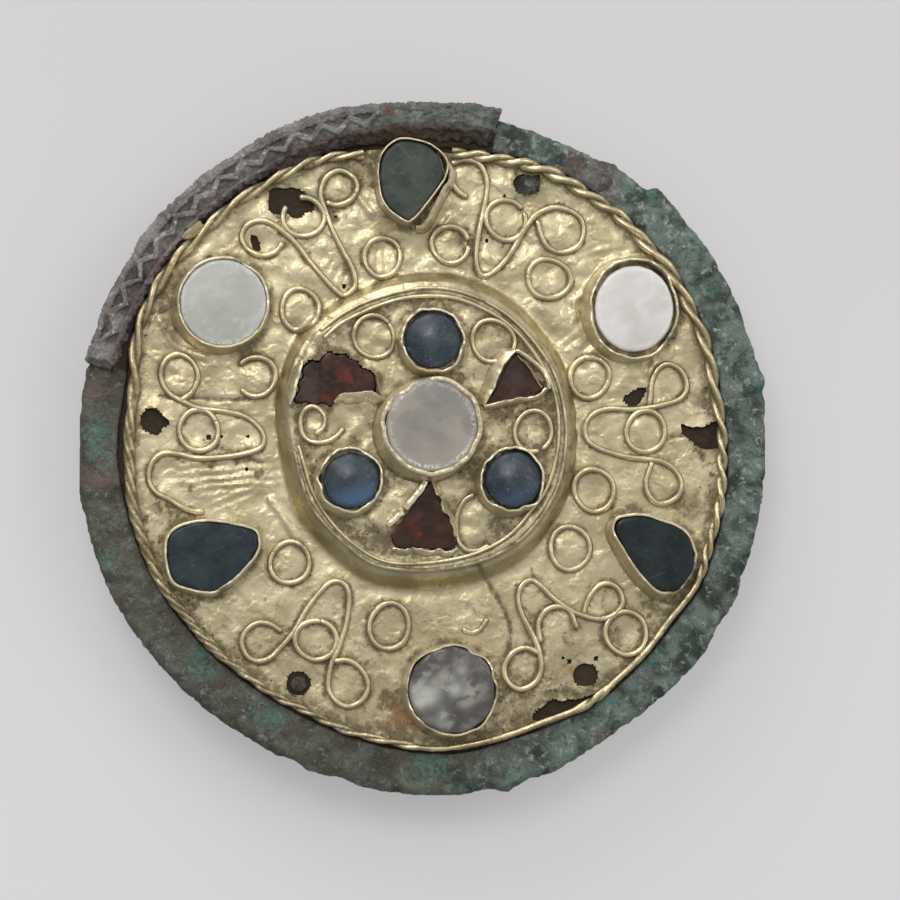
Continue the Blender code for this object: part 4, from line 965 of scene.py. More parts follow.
def cut_sheet():
    """A sheet cut from a square grid: corners near an edge move onto it, and what lies beyond goes.
    Gives the corners, the squares between them and how far each corner is curled up."""
    reach = rope_radius(np.linspace(0, 2 * math.pi, 90)).max() + 2 * SHEET_PITCH
    span = np.arange(-reach, reach, SHEET_PITCH)
    plan = np.stack(np.meshgrid(span, span), -1).reshape(-1, 2) + SHEET_CENTRE
    clear, snapped, lip = np.full(len(plan), 9.0), plan.copy(), np.zeros(len(plan))
    for outline, curl, sign in sheet_cuts():
        line = curve(outline, 0.05, closed=True)
        if sign > 0:
            line += HOLE_RAGGEDNESS * np.stack([lumps(line, 0.5, 3, 32), lumps(line, 0.5, 3, 33)], -1)
        middle = line.mean(0)
        reach = np.linalg.norm(line - middle, axis=1)
        away = np.linalg.norm(plan - middle, axis=1)
        near = np.flatnonzero((away < reach.max() + 1.5) & (away > (reach.min() - 1.5 if sign < 0 else -1)))
        distance, touch = nearest(plan[near], line)
        signed = np.where(inside(plan[near], line), -distance, distance) * sign
        lip[near] += curl * np.exp(-np.maximum(signed, 0) / CURL_WIDTH)
        closer = signed < clear[near]
        clear[near[closer]], snapped[near[closer]] = signed[closer], touch[closer]
        if sign < 0:
            clear[away > reach.max()] = -9.0
    on_edge = np.abs(clear) < SHEET_PITCH / 2
    plan[on_edge] = snapped[on_edge]
    clear[on_edge] = 0
    index = np.arange(len(plan)).reshape(len(span), len(span))
    quads = np.stack([index[:-1, :-1], index[:-1, 1:], index[1:, 1:], index[1:, :-1]], -1).reshape(-1, 4)
    quads = quads[(clear[quads] >= 0).all(1) & (clear[quads].mean(1) > 0)]
    used = np.unique(quads)
    place = np.zeros(len(plan), int)
    place[used] = np.arange(len(used))
    return plan[used], place[quads], lip[used]


def sheet_soil_and_shade(plan, lip, crack, lines):
    """How much earth and painted shade lie on the gold at each of its corners."""
    offset = plan - BOSS_CENTRE
    away = np.linalg.norm(offset, axis=1) / PIXEL
    from_centre = plan - SHEET_CENTRE
    from_rope = rope_radius(turn_of(from_centre)) - np.linalg.norm(from_centre, axis=1)
    # Beside all that stands on the gold, in its cracks and beside the rope
    distance, _ = nearest(plan, lines)
    soil_and_shade = 0.62 * ramp(0.75, 0.22, distance) * (0.45 + 0.75 * ramp(-0.3, 0.3, lumps(plan, 2.4, 2, 36)))
    soil_and_shade += 1.2 * np.exp(-(crack / 0.17) ** 2) + 0.55 * ramp(1.5, 0.5, from_rope)
    # Painted shade on the boss's wall, strongest on its side away from the light and its lower right, and
    # painted shade on the lower part of the field
    slope = ramp(137, 141, away) * ramp(BOSS_FOOT_PX, BOSS_FOOT_PX - 7, away)
    shaded = ramp(0.4, -0.3, np.cos(turn_of(offset) - math.radians(108)))
    lowest = ramp(0.3, 1.0, unit(offset) @ np.array((0.7, -0.7)))
    soil_and_shade += slope * (0.02 + 0.24 * shaded + 0.3 * lowest)
    soil_and_shade += 0.32 * ramp(-8, -18, plan[:, 1])
    # Painted shade in the groove along the boss's rim; earth and painted shade in patches beside its
    # settings, and darker on its right half
    soil_and_shade += 0.55 * ramp(138, 135, away) * ramp(127, 131, away)
    soil_and_shade += 0.5 * ramp(133, 126, away) * ramp(114, 126, away)
    soil_and_shade += 0.8 * spots(plan, SOIL_AND_SHADE_PX, BOSS_Z) + 0.04 * ramp(*BOSS_FLAT_PX, away)
    soil_and_shade += 0.42 * ramp(*BOSS_FLAT_PX, away) * ramp(2, 8, offset[:, 0])
    # Stains, some of them painted shadow, crumbs and curled edges
    soil_and_shade += 0.7 * spots(plan, STAINS_AND_SHADOWS_PX)
    soil_and_shade += 1.6 * spots(plan, CRUMBS_PX) * ramp(0.05, 0.25, lumps(plan, 0.7, 3, 37))
    return soil_and_shade + 0.5 * ramp(0.04, 0.2, np.abs(lip))


def gold_sheet(lines):
    """The crumpled sheet with its boss, an upper and a lower face, and two scraps that are bent up."""
    plan, quads, lip = cut_sheet()
    top = raised(plan, surface(plan) + lip * (1 + 0.6 * lumps(plan, 0.9, 2, 34)))
    below = top - UP * SHEET_THICKNESS
    crack, _ = nearest(plan, np.concatenate([curve(at(points), 0.1) for points in CRACKS_PX]))
    top[:, 2] -= CRACK_DEPTH * np.exp(-(crack / 0.16) ** 2)
    count = len(top)
    edges = np.concatenate([quads[:, [i, (i + 1) % 4]] for i in range(4)])
    border = edges[~np.isin(edges[:, 0] * count + edges[:, 1], edges[:, 1] * count + edges[:, 0])]
    skirts = np.stack([border[:, 1], border[:, 0], border[:, 0] + count, border[:, 1] + count], -1)
    faces = np.concatenate([quads, quads[:, ::-1] + count, skirts])
    flaps = [flap(points) for points in FLAPS_PX]
    extra = sum(len(points) for points, _ in flaps)
    soil_and_shade = np.append(np.tile(sheet_soil_and_shade(plan, lip, crack, lines), 2), np.full(extra, 0.1))
    rust = np.append(np.tile(spots(plan, TARNISH_PX) * 0.9, 2), np.zeros(extra))
    whole = (np.concatenate([top, below]), faces.tolist())
    piece("crumpled_gold_sheet", [whole, *flaps], GOLD_SHEET, "gold_sheet", "gold_sheet", crease=50,
          dirt=soil_and_shade, tarnish=rust)


def flap(points_px):
    """A scrap of the sheet's edge, bent up over the plate's rim."""
    line = curve(at(points_px), 0.25, closed=True)
    middle = line.mean(0)
    rings = []
    for share, below in ((0.02, 1), (0.5, 1), (0.97, 1), (1.0, 0.5), (0.97, 0), (0.5, 0), (0.02, 0)):
        plan = middle + (line - middle) * share
        climb = ramp(26.4, 28.3, np.linalg.norm(plan, axis=1))
        z = FIELD_Z + 0.1 + (high("rim_strip") - FIELD_Z) * climb + 0.05 * lumps(plan, 0.9, 2, 35)
        rings.append(raised(plan, z - SHEET_THICKNESS * below))
    return loft(np.stack(rings))


# Wires
def wire(points_px, radius=WIRE_RADIUS, z=FIELD_Z):
    return round_wire(laid(smoothed(points_px, z), radius * WIRE_SEAT), radius)


def ringlet(spec, radius=WIRE_RADIUS, z=FIELD_Z):
    return round_wire(laid(ringlet_path(spec, z), radius * WIRE_SEAT), radius)


def wire_piece(name, parts, *nodes):
    piece(name, parts, GOLD_WIRE, "gold_wire", *nodes, crease=70, dirt=above_gold())


def filigree():
    """The scrolls and ringlets of round wire."""
    for place, points in SCROLLS_PX.items():
        parts = [wire(points), ringlet(SCROLL_RINGLETS_PX[place])]
        if place in SCROLL_BITS_PX:
            parts.append(wire(SCROLL_BITS_PX[place]))
        wire_piece(f"filigree_scroll_{place}", parts, f"scroll_{place}")
    for place, spec in FIELD_RINGLETS_PX.items():
        wire_piece(f"filigree_ringlet_{place}", [ringlet(spec)], f"ringlet_{place}")
    wire_piece("filigree_fragment", [wire(FRAGMENT_PX, 0.25)], "ringlet_fragment")
    for place, spec in BOSS_RINGLETS_PX.items():
        wire_piece(f"filigree_boss_ringlet_{place}", [ringlet(spec, 0.23, BOSS_Z)], f"boss_ringlet_{place}")
    wire_piece("filigree_boss_curl_left", [wire(BOSS_LEFT_CURL_PX, 0.23, BOSS_Z)], "boss_ringlet_left")
    wire_piece("filigree_boss_curl_open", [wire(BOSS_OPEN_CURL_PX, 0.24, BOSS_Z)], "boss_ringlet_open")


def boss_wire():
    """Two fine wires side by side, lost from the left."""
    parts = []
    for points, lift, inward in ((OUTER_BOSS_WIRE_PX, 0.02, -0.02), (INNER_BOSS_WIRE_PX, 0.12, 0.14)):
        plan = smoothed(points, BOSS_Z, 0.16)
        plan -= unit(plan - BOSS_CENTRE) * inward
        height = BOSS_Z + lift + 0.05 * lumps(plan, 2.0, 2, 41)
        parts.append(round_wire(raised(plan, height), FINE_WIRE_RADIUS, sides=8))
    wire_piece("twin_boss_wire", parts, "boss_wire")


# By direction in degrees: how fast the rope twists, and how thick each of its strands is
ROPE_ENDS, ROPE_STEP = (102.5, 445.5), 0.3
ROPE_PACE = [(100, 1.2), (125, 0.95), (142, 0.75), (166, 0.75), (176, 0.9), (205, 0.9), (222, 1.2),
    (268, 1.1), (334, 1.4), (358, 1.3), (366, 0.85), (408, 0.85), (420, 1.2), (446, 1.2)]
ROPE_SIZE = [(100, 0.25), (130, 0.31), (165, 0.32), (172, 0.31), (200, 0.30), (215, 0.26), (240, 0.20),
    (262, 0.20), (280, 0.29), (330, 0.29), (342, 0.24), (362, 0.31), (380, 0.34), (425, 0.34), (446, 0.30)]
STRANDS_APART, ROPE_FLATNESS = 0.82, 0.85


def edge_rope():
    """Two strands twisted together, laid nearly straight on the left, one plain wire at the lower right."""
    middle = (low("edge_rope") + high("edge_rope")) / 2
    turns = np.radians(np.arange(*ROPE_ENDS, ROPE_STEP))
    degrees = np.degrees(turns)
    knot = np.exp(-((degrees - 303) / 3) ** 2)
    plain = ramp(265, 272, degrees) * ramp(338, 331, degrees) * (1 - 0.8 * knot)
    fourfold = (ramp(168, 176, degrees) * ramp(236, 222, degrees))[:, None]
    radius = rope_radius(turns) + 0.06 * np.sin(turns * 23) - 0.3 * ramp(108, 102, degrees)
    rise = 0.06 * np.sin(turns * 31) + 0.3 * ramp(441, 445, degrees) - 0.12
    path = raised(SHEET_CENTRE + bearing(turns) * radius[:, None], middle + rise)
    pace = (1 + 0.4 * lumps(path, 9.0, 2, 42)) * np.interp(degrees, *zip(*ROPE_PACE))
    twist = np.cumsum(pace * math.radians(ROPE_STEP) * radius.mean()) * 2 * math.pi / ROPE_PITCH
    size = (np.interp(degrees, *zip(*ROPE_SIZE)) + 0.04 * lumps(path, 1.5, 2, 43))[:, None]
    # The cross-section: two circles side by side, or four leaves, turned by the twist
    apart = STRANDS_APART * (1 - plain)[:, None]
    around = full_turn(20)
    reach = size * (apart * np.abs(np.cos(around)) + np.sqrt(1 - (apart * np.sin(around)) ** 2))
    reach += fourfold * (size * (1.25 + 0.45 * np.abs(np.cos(2 * around))) - reach)
    u, v = reach * np.cos(around), reach * np.sin(around)
    c, s = np.cos(twist)[:, None], np.sin(twist)[:, None]
    sections = np.stack([u * c - v * s, (u * s + v * c) * ROPE_FLATNESS], -1)
    # Darker between the strands and below, dull stretches, and painted shade on the plain one's side away
    # from the light
    groove = ramp(0.75, 0.45, reach / (size * (1 + apart)))
    groove = groove + fourfold * (ramp(0.6, 0.2, np.abs(np.cos(2 * around))) - groove)
    low_part = ramp(0.10, -0.16, sections[..., 1])
    dull = (0.5 * ramp(105, 118, degrees) + 0.5 * ramp(160, 172, degrees)) * ramp(268, 250, degrees)
    dull = (dull + 0.3 * ramp(268, 280, degrees))[:, None]
    shade = plain[:, None] * ramp(0.02, 0.22, sections[..., 0])
    dirt = 0.05 + 0.7 * groove + 0.7 * low_part + 0.38 * dull + 0.6 * shade
    piece("twisted_edge_rope", [sweep(path, sections)], GOLD_ROPE, "gold_wire", "edge_rope", crease=70,
          dirt=dirt.ravel())


# Settings
# A wall's cross-section above its outer foot: how far out, in half thicknesses, and the share of its height
WALL_SECTION = [(1, 0.14), (1, 0.5), (1, 0.92), (0.8, 0.98), (0.4, 1.0), (-0.4, 1.0), (-0.8, 0.98),
    (-1, 0.92), (-1, 0.5), (-1, 0.0)]
WALL_FOOT = 0.08
LIP_SLACK = 0.03
STONE_WEAR = 0.012
STONE_RINGS = 16


def bezel_wall(outline, lip_z, bends, skirt, seed, thickness=0.26, lip_wave=0.06, wave=0.05):
    """A strip on edge round a stone. Each bend (direction, width, push, drop) pushes its lip out and down,
    and the skirt (direction, spread) spreads its foot."""
    line = curve(outline, 0.15, closed=True)
    out = outward(line)
    turns = np.degrees(turn_of(line - line.mean(0)))
    space = raised(line, seed)
    push = wave * lumps(space, 1.3, 3, seed)
    height = lip_z - LIP_SLACK + np.minimum(lip_wave * lumps(space, 1.0, 3, seed + 1), LIP_SLACK)
    for centre, width, outwards, drop in bends:
        near = near_turn(turns, centre, width)
        push, height = push + outwards * near, height - drop * near
    skirt_way = math.radians(skirt[0])
    facing = np.clip(out @ np.array((math.cos(skirt_way), math.sin(skirt_way))), 0, 1)
    top = raised(line + out * push[:, None], height)
    foot_plan = line + out * (WALL_FOOT + skirt[1] * facing)[:, None]
    foot = raised(foot_plan, surface(foot_plan) - 0.05)
    half = thickness / 2
    profile = [(half + WALL_FOOT, 0.0)] + [(half * side, share) for side, share in WALL_SECTION]
    side = raised(out, 0.0)
    rings = [foot + (top - foot) * share + side * reach for reach, share in profile]
    return loft(np.stack(rings, 1), joined=True)


def ribbon(points_px, lip_z, spread, lean, thickness, seed, ragged=0.12, z=BOSS_Z):
    """An open strip of foil on edge, with its lip along the points and its foot on the gold.
    The foot's right-hand side spreads, and the lip leans to the right of the foot."""
    line = curve(at(points_px, z), 0.12)
    side = outward(line, closed=False)
    steps = np.arange(len(line))
    ends = ramp(0, 6, np.minimum(steps, steps[::-1]))
    half = thickness / 2
    profile = [(-half, 0.0, 0.0), (-half, 0.93, 0.0), (0.0, 1.0, 0.0), (half, 0.93, 0.12), (half, 0.5, 0.55),
               (half, 0.0, 1.0)]
    wave = 0.8 * ragged * lumps(line, 0.7, 2, seed + 1)
    height = lip_z + ragged * lumps(line, 0.8, 3, seed) - 0.1 * (1 - ends)
    rings = []
    for out, share, splay in profile:
        shift = out + splay * spread * (0.4 + 0.6 * ends) - lean * (1 - share) + wave * share
        plan = line + side * shift[:, None]
        foot = surface(plan) - 0.1
        rings.append(raised(plan, foot + (height - foot) * share))
    return loft(np.stack(rings, 1))


def slab(outline, base, top, crown, bevel=0.16, rough=0.02, seed=0):
    """A stone: an upright side, a worn edge and a table that may be domed."""
    line = curve(outline, 0.16, closed=True)
    middle = line.mean(0)
    line = middle + (line - middle) * (1 - STONE_WEAR + STONE_WEAR * lumps(line, 0.8, 3, seed))[:, None]
    size = np.linalg.norm(line - middle, axis=1).mean()
    levels = [(1.0, base), (1.0, base + (top - base) * 0.5), (1.0, top - bevel)]
    levels += [(1 - 0.3 * bevel / size, top - bevel * 0.4)]
    levels += [(share, top) for share in np.linspace(1 - bevel / size, 0.02, STONE_RINGS)]
    grid = []
    for share, z in levels:
        plan = middle + (line - middle) * share
        rise = crown * (1 - share ** 2) if z >= top - bevel else 0
        relief = rough * lumps(plan, 1.4, 3, seed + 2) * (z >= top)
        grid.append(raised(plan, z + rise + relief))
    return loft(np.stack(grid))


def margin_of(outline, width, upper=0.0):
    """How strongly a stone's points lie in a patchy ring inside its outline, or in its upper part."""
    line = curve(outline, 0.1, closed=True)

    def margin(corners):
        away = nearest(corners[:, :2], line)[0]
        patchy = 0.35 + 0.9 * ramp(-0.2, 0.3, lumps(corners, 2.2, 2, 75))
        ring = ramp(width, width * 0.7, away) * ramp(width * 0.15, width * 0.45, away) * patchy
        return ring + upper * ramp(0.8, 2.2, corners[:, 1] - line[:, 1].mean())

    return margin


def strip_piece(name, walls, node, dirt, crease=35):
    piece(name, walls, GOLD_BEZEL, "gold_bezel", node, crease=crease, dirt=dirt)


OUTER_BEZELS = {
    "top": dict(bends=[(28, 22, 0.3, 0.0), (-45, 40, -0.05, 0.05)], skirt=(215, 0.15), seed=51,
                thickness=0.2),
    "upper_left": dict(bends=[(60, 12, -0.12, 0.05)], skirt=(215, 0.5), seed=52),
    "upper_right": dict(bends=[(-40, 22, -0.1, 0.3), (-62, 7, 0.12, 0.0), (50, 13, 0.16, 0.25),
                               (27, 8, -0.12, 0.15), (74, 8, 0.08, 0.1)],
                        skirt=(185, 0.5), seed=53, lip_wave=0.16, wave=0.09),
    "lower_left": dict(bends=[(0, 12, 0.1, 0.0)], skirt=(250, 0.15), seed=54),
    "lower_right": dict(bends=[(150, 18, 0.15, 0.0), (-42, 28, -0.05, 0.6), (-5, 5, 0.12, 0.0)],
                        skirt=(215, 0.5), seed=55, thickness=0.28, lip_wave=0.1),
    "bottom": dict(bends=[(62, 7, -0.22, 0.0), (40, 7, 0.1, 0.15), (20, 8, -0.15, 0.0), (-60, 20, 0.1, 0.1),
                          (110, 8, -0.12, 0.1), (150, 15, 0.15, 0.0)], skirt=(200, 0.3), seed=56,
                   lip_wave=0.2, wave=0.12, thickness=0.22),
}
PEELED_END_PX = [(415, 228), (421, 227.5), (427, 221), (434, 207), (441, 193), (448, 182), (450, 172),
    (447, 164)]
SLIVER_PX = [(442, 184), (443, 175), (440, 164), (436, 154)]
# Dark patches on the settings' walls: the first six, inside the upper right wall, are painted shadow; the
# rest are smudges
SMUDGES_AND_SHADOWS_PX = [(668, 263, 9), (684, 281, 9), (649, 257, 6), (672, 339, 9), (690, 300, 6), (636, 353, 6),
    (240, 262, 6), (176, 303, 6), (455, 215, 6), (380, 160, 6), (410, 690, 8), (430, 726, 8), (495, 690, 7),
    (225, 590, 8), (694, 568, 8), (687, 580, 9), (676, 591, 9)]
CLOUDS_PX = [(428, 694, 12), (421, 700, 8), (455, 688, 7), (462, 668, 6)]
# How far a lip and its stone differ across and along from the plain ring
LIP_STRETCH = {"upper_right": (0.98, 1.12)}
STONE_STRETCH = {"upper_right": (0.91, 0.99), "top": (0.97, 0.98)}
# How far a stone's table bulges, lies below the lip and is uneven, and how pale its upper part is
CROWNS = {
    "top": 0.05,
    "upper_left": 0.07,
    "upper_right": 0.12,
    "lower_left": 0.04,
    "lower_right": 0.04,
    "bottom": 0.25,
}
STONE_DEPTH = {"upper_right": 0.3, "top": 0.28, "bottom": 0.25}
STONE_ROUGHNESS = {"bottom": 0.12}
PALE_UPPER_PART = {"bottom": 0.5}


def widened(outline, by):
    """A closed outline moved outwards."""
    line = curve(outline, 0.3, closed=True)
    return line + outward(line) * by


def stretched(outline, shares):
    middle = outline.mean(0)
    return middle + (outline - middle) * shares


def outer_settings():
    """The six settings on the field."""
    for place, form in OUTER_BEZELS.items():
        outline = outline_of(f"stone_{place}")
        lip = high(f"bezel_{place}")
        walls = [bezel_wall(stretched(widened(outline, 0.2), LIP_STRETCH.get(place, (1, 1))), lip, **form)]
        if place == "top":
            walls.append(ribbon(PEELED_END_PX, lip, 0.5, 0.0, 0.26, 58, z=FIELD_Z))
            walls.append(ribbon(SLIVER_PX, lip - 0.1, 0.0, 0.1, 0.12, 59, z=FIELD_Z))
        strip_piece(f"gold_strip_{place}", walls, f"bezel_{place}",
                    lambda c: above_gold(0.0, 0.25)(c) + 1.1 * spots(c, SMUDGES_AND_SHADOWS_PX, lip))
        outline = stretched(widened(outline, 0.14), STONE_STRETCH.get(place, (1, 1)))
        stone = slab(outline, low(f"stone_{place}") - 0.05, lip - STONE_DEPTH.get(place, 0.17), CROWNS[place],
                     rough=STONE_ROUGHNESS.get(place, 0.02), seed=form["seed"] + 10)
        piece(f"set_stone_{place}", [stone], STONES[place], f"stone_{place}", f"stone_{place}", crease=35,
              margin=margin_of(outline, 0.5, PALE_UPPER_PART.get(place, 0)),
              cloud=lambda c: 0.65 * spots(c, CLOUDS_PX, lip))


CENTRE_BENDS = [(128, 16, -0.45, 0.1), (100, 12, -0.25, 0.3), (150, 8, 0.1, 0.5), (172, 10, 0.2, 0.2)]
# For each cabochon: its wall, how far the glass lies off the wall's middle, and how strongly its painted glow
# shows
CABOCHONS = {
    "top": (dict(bends=[(115, 10, 0.05, -0.15), (75, 25, 0.05, 0.0), (-60, 22, 0.25, 0.2)],
                 skirt=(250, 0.3), seed=63), (0.03, 0.02), 0.12),
    "left": (dict(bends=[(178, 8, 0.25, 0.4), (20, 14, 0.05, 0.0), (240, 45, 0.15, 0.1)],
                  skirt=(230, 0.6), seed=65), (0.06, -0.12), 0.95),
    "right": (dict(bends=[(200, 30, 0.2, 0.1), (80, 8, 0.0, 0.3), (-45, 10, 0.2, 0.2)],
                   skirt=(235, 0.5), seed=67), (0.05, -0.03), 0.35),
}
PAINTED_HIGHLIGHT_SPOT = np.array((-0.35, 0.95))


def boss_settings():
    """The centre setting and the three cabochons."""
    outline = outline_of("stone_centre")
    wall = bezel_wall(widened(outline, 0.19), high("bezel_centre"), CENTRE_BENDS, skirt=(215, 0.75),
                      thickness=0.46, seed=61, lip_wave=0.25, wave=0.14)
    strip_piece("gold_strip_centre", [wall], "bezel_centre", lambda c: above_gold(0.0, 0.5)(c) + 0.32)
    stone = slab(widened(outline, 0.12), low("stone_centre"), high("stone_centre") - 0.2, 0.12, seed=62)
    piece("set_stone_centre", [stone], STONES["centre"], "stone_centre", "stone_centre", crease=35,
          margin=margin_of(outline, 0.6))
    for place, (form, shift, glow) in CABOCHONS.items():
        outline = outline_of(f"cabochon_{place}")
        lip = high(f"cabochon_bezel_{place}")
        wall = bezel_wall(widened(outline, 0.2), lip, lip_wave=0.25, wave=0.17, thickness=0.24, **form)
        strip_piece(f"gold_strip_cabochon_{place}", [wall], f"cabochon_bezel_{place}", above_gold(0.0, 0.4))
        seat = stretched(widened(outline, 0.08), (0.96, 0.95)) + np.array(shift)
        dome = slab(seat, low(f"cabochon_{place}"), lip - 0.35, 0.75, 0.1, 0.012, form["seed"] + 1)
        # Painted glow on the lower side of the glass, away from the light, and a painted highlight towards
        # its upper left
        offset = dome[0][:, :2] - outline.mean(0)
        glow = glow * ramp(-0.1, 2.0, 0.25 * offset[:, 0] - offset[:, 1])
        piece(f"glass_cabochon_{place}", [dome], BLUE, "blue_glass", f"cabochon_{place}", crease=35,
              haze=0.3 * np.exp(-(np.linalg.norm(offset - PAINTED_HIGHLIGHT_SPOT, axis=1) / 0.6) ** 2),
              glow=glow * ramp(2.6, 1.9, np.linalg.norm(offset, axis=1)))


GARNETS_PX = {
    "left": GARNET_HOLE_PX,
    "right": [(485, 408), (493, 394), (500, 380), (507, 366), (516, 354), (525, 364), (535, 376), (544, 388),
              (530, 394), (510, 401)],
    "bottom": [(431, 482), (438, 497), (445, 513), (454, 530), (455, 546), (440, 549), (425, 548), (397, 547),
               (392, 534), (404, 518), (416, 502), (425, 488)],
}
# How far a garnet lies below the others and reaches past its outline
GARNET_SINK, GARNET_SPREAD = {"left": 0.25}, {"left": 0.06}
SPARKS_PX = [(345, 374, 7), (330, 401, 4), (323, 396, 3), (352, 380, 4), (415, 528, 6), (423, 524, 3),
    (420, 535, 4), (360, 372, 4)]
FLAKES_PX = [(308, 388, 13), (303, 370, 7), (515, 380, 9), (310, 398, 8)]
# The strips round each garnet: lip points, height against the common lip, and what ribbon() takes
CELL_STRIPS_PX = {
    "left": [
        ([(335, 403), (341, 395), (355, 394), (369, 392), (378, 396), (386, 400)
            ], -0.15, 1.0, 0.0, 0.14, 81),
        ([(387, 400), (380, 390), (377, 376)], 0.0, 0.15, 0.1, 0.14, 83),
        ([(304, 361), (299, 378), (296, 392), (291, 405)], -0.35, 0.55, 0.0, 0.18, 84),
    ],
    "right": [
        ([(484, 407), (502, 402), (520, 399), (536, 396), (546, 389)], 0.0, 0.35, 0.0, 0.2, 85),
        ([(549, 389), (546, 378), (539, 368), (528, 358), (515, 351)], 0.0, 0.25, 0.1, 0.26, 86),
        ([(541, 388), (535, 378), (527, 366), (517, 356)], -0.1, 0.0, 0.0, 0.14, 87),
        ([(515, 351), (506, 361), (499, 374), (493, 390), (484, 406)], 0.0, 1.05, 0.0, 0.16, 88),
    ],
    "bottom": [
        ([(425, 481), (421, 490), (414, 499), (406, 509)], 0.0, 0.25, 0.0, 0.42, 89),
        ([(403, 512), (396, 518), (388, 526)], -0.05, 0.2, 0.0, 0.4, 90),
        ([(456, 536), (452, 527), (449, 517), (443, 509), (441, 499), (436, 492), (433, 481)
            ], -0.15, 0.5, 0.0, 0.16, 91, 0.3),
        ([(393, 548), (405, 550), (414, 547), (425, 551), (437, 549), (447, 552), (457, 548)
            ], -0.45, 0.5, 0.0, 0.14, 92, 0.3),
    ],
}
GARNET_RISE, CELL_RISE = 0.42, 0.85


def garnets():
    """Thin garnets on the boss, each with the strips of foil that are left round it."""
    for place, points in GARNETS_PX.items():
        outline = widened(at(points, BOSS_Z), GARNET_SPREAD.get(place, 0.0))
        top = BOSS_Z + GARNET_RISE - GARNET_SINK.get(place, 0.0)
        stone = slab(outline, BOSS_Z - 0.1, top, 0.02, 0.1, 0.05, 71)
        if place == "left":
            dip = ramp(323, 317, stone[0][:, 0] / PIXEL + PLATE_PX[0]) * (stone[0][:, 2] > BOSS_Z)
            stone[0][:, 2] -= 0.16 * dip
        piece(f"garnet_plate_{place}", [stone], GARNET, "garnet", f"garnet_{place}", crease=30,
              spark=lambda c: spots(c, SPARKS_PX, BOSS_Z), flake=lambda c: spots(c, FLAKES_PX, BOSS_Z))
    for place, strips in CELL_STRIPS_PX.items():
        walls = [ribbon(lip_points, BOSS_Z + CELL_RISE + rise, *form) for lip_points, rise, *form in strips]
        strip_piece(f"garnet_strips_{place}", walls, f"garnet_cell_{place}", above_gold(0.0, 0.3), crease=50)


# The back's fittings and the rivet
FITTING_GRAIN = 0.11
RIVET_PX, RIVET_HALF_PX = (299, 684), (8.5, 8)


def weathered(node, name):
    """A CAD node's shape with worn corners and a corroded face."""
    copy = linked(name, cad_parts[node].data.copy())
    remesh = copy.modifiers.new("grain", "REMESH")
    remesh.mode = "VOXEL"
    remesh.voxel_size = FITTING_GRAIN * MM
    relax = copy.modifiers.new("wear", "SMOOTH")
    relax.iterations = 3
    shape = bpy.data.meshes.new_from_object(copy.evaluated_get(bpy.context.evaluated_depsgraph_get()))
    bpy.data.objects.remove(copy)
    corners = np.array([v.co for v in shape.vertices]) / MM
    normals = np.array([v.normal for v in shape.vertices])
    sunk = 0.035 + 0.05 * lumps(corners, 0.8, 3, 95)
    corners = corners - normals * np.clip(sunk, 0, 0.12)[:, None]
    corners[:, 2] = np.maximum(corners[:, 2], 0.001)
    faces = [list(f.vertices) for f in shape.polygons]
    piece(name, [(corners, faces)], BRONZE, "plate_bronze", node, crease=70, brown=0.5,
          teal=0.5 * ramp(0.1, 0.5, lumps(corners, 2.0, 3, 96)))


def fittings():
    weathered("hinge_lug_left", "worn_lug_left")
    weathered("hinge_lug_right", "worn_lug_right")
    weathered("catch_plate", "worn_catch")
    (px, py), (half_width, half_height) = RIVET_PX, RIVET_HALF_PX
    turns = np.linspace(0, 2 * math.pi, 14)[:-1]
    outline = at([(px + half_width * math.cos(t), py + half_height * math.sin(t)) for t in turns])
    stub = slab(outline, FLOOR_Z, FIELD_Z - 0.12, 0.08, 0.12, 0.06, 97)
    piece("worn_rivet", [stub], BRONZE, "plate_bronze", "rivet_stub", crease=60, brown=0.9, soot=0.45)


def solder_lines():
    """Everything that stands on the gold, as points beside which earth gathers."""
    loops = [(spec, FIELD_Z) for spec in (*SCROLL_RINGLETS_PX.values(), *FIELD_RINGLETS_PX.values())]
    loops += [(spec, BOSS_Z) for spec in BOSS_RINGLETS_PX.values()]
    lines = [smoothed(points, FIELD_Z, 0.2) for points in SCROLLS_PX.values()]
    lines += [ringlet_path(spec, z) for spec, z in loops]
    lines += [smoothed(points, FIELD_Z, 0.2) for points in SCROLL_BITS_PX.values()]
    lines += [smoothed(points, BOSS_Z, 0.2) for points in (BOSS_LEFT_CURL_PX, BOSS_OPEN_CURL_PX)]
    stones = [f"stone_{place}" for place in (*OUTER_BEZELS, "centre")]
    stones += [f"cabochon_{place}" for place in CABOCHONS]
    lines += [curve(widened(outline_of(node), 0.45), 0.2, True) for node in stones]
    lines += [curve(at(points, BOSS_Z), 0.2, True) for points in GARNETS_PX.values()]
    return np.concatenate(lines)


# Stage, light and camera
FLOOR_SIZE = 1.6
LENS, SENSOR = 180.0, 36.0
BRIGHT_SIDE = Vector((0.35, 0.5, 0.79))
DOME_COLOUR, DOME_STRENGTH = (0.97, 0.98, 1.0, 1), (0.20, 0.76)
# Each lamp's direction, distance, size and brightness
LAMPS = {
    "key": ((-0.22, 0.46, 1.0), 0.62, 0.22, 4.9),
    "low": ((-0.36, 1.0, 0.38), 0.66, 0.44, 3.3),
    "side": ((0.8, 0.4, 1.0), 0.65, 0.25, 2.2),
}


def lamp(name, way, distance, size, radiance):
    """A square soft light that faces the brooch, with the brightness that a mirror would show."""
    data = bpy.data.lights.new(name, "AREA")
    data.shape = "SQUARE"
    data.size = size
    data.energy = radiance * math.pi * size * size
    made = linked(name, data)
    made.location = Vector(way).normalized() * distance
    made.rotation_euler = Vector(way).to_track_quat("Z", "Y").to_euler()


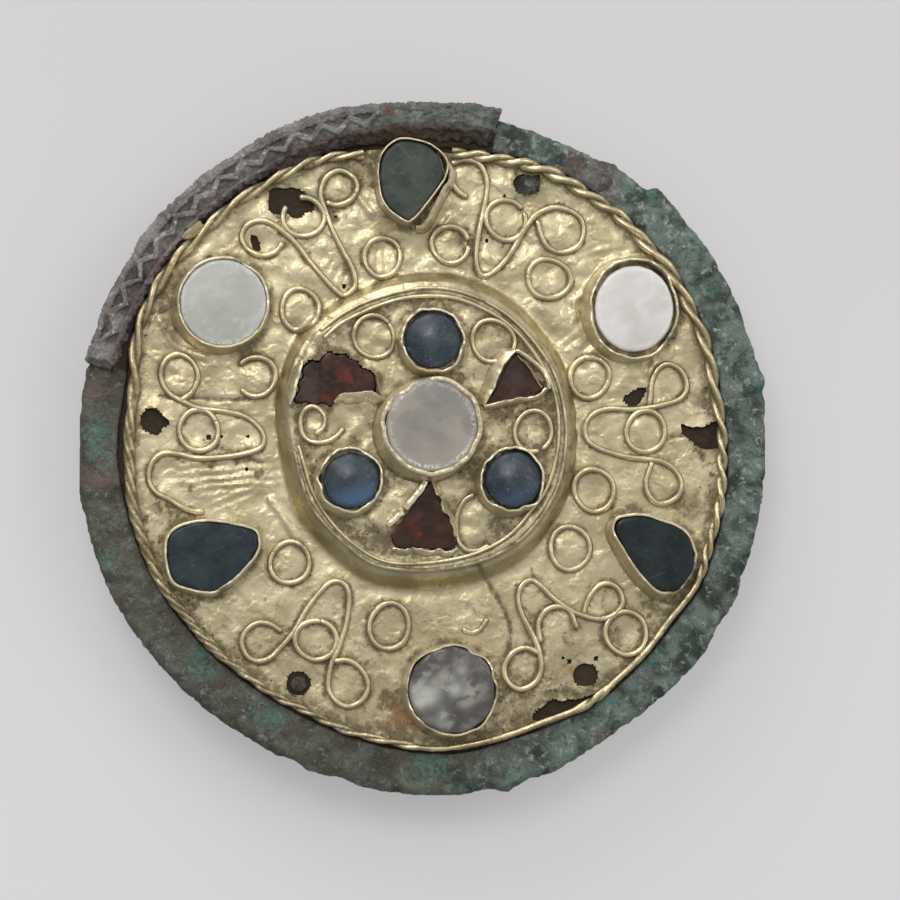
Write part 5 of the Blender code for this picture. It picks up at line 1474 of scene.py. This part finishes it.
def stage():
    """The table, a pale sky that is brighter at the upper right, and three soft lamps."""
    half = FLOOR_SIZE / 2
    mesh = bpy.data.meshes.new("floor")
    corners = [(-half, -half, 0), (half, -half, 0), (half, half, 0), (-half, half, 0)]
    mesh.from_pydata(corners, [], [(0, 1, 2, 3)])
    mesh.materials.append(plain_floor("pale_floor"))
    floor = linked("floor", mesh)
    world = bpy.data.worlds.new("studio")
    bpy.context.scene.world = world
    world.use_nodes = True
    sky = world.node_tree
    dome = sky.nodes["Background"]
    dome.inputs["Color"].default_value = DOME_COLOUR
    toward = sky.nodes.new("ShaderNodeVectorMath")
    toward.operation = "DOT_PRODUCT"
    toward.inputs[1].default_value = BRIGHT_SIDE.normalized()
    strength = sky.nodes.new("ShaderNodeMapRange")
    strength.inputs["From Min"].default_value = -0.3
    strength.inputs["To Min"].default_value, strength.inputs["To Max"].default_value = DOME_STRENGTH
    sky.links.new(sky.nodes.new("ShaderNodeTexCoord").outputs["Generated"], toward.inputs[0])
    sky.links.new(toward.outputs["Value"], strength.inputs["Value"])
    sky.links.new(strength.outputs[0], dome.inputs["Strength"])
    for name, settings in LAMPS.items():
        lamp(name, *settings)
    bpy.context.scene.view_settings.view_transform = "Standard"


def camera():
    """A camera far off, nearly straight above the brooch, in the photograph's frame."""
    away = np.append(VIEW_SIDE * math.sin(VIEW_TILT), math.cos(VIEW_TILT))
    right = unit(np.cross((0, 1, 0), away))
    upward = np.cross(away, right)
    data = bpy.data.cameras.new("camera")
    data.lens, data.sensor_width, data.clip_end = LENS, SENSOR, 10
    target = np.append(at((FRAME_PX / 2, FRAME_PX / 2)), PLATE_TOP)
    distance = FRAME_PX * PIXEL * LENS / SENSOR
    turn = Matrix((right, upward, away)).transposed().to_4x4()
    made = linked("camera", data)
    made.matrix_world = Matrix.Translation(Vector((target + away * distance) * MM)) @ turn
    bpy.context.scene.camera = made


camera()
stage()
back_plate()
rim_strip()
gold_sheet(solder_lines())
edge_rope()
boss_wire()
filigree()
outer_settings()
boss_settings()
garnets()
fittings()
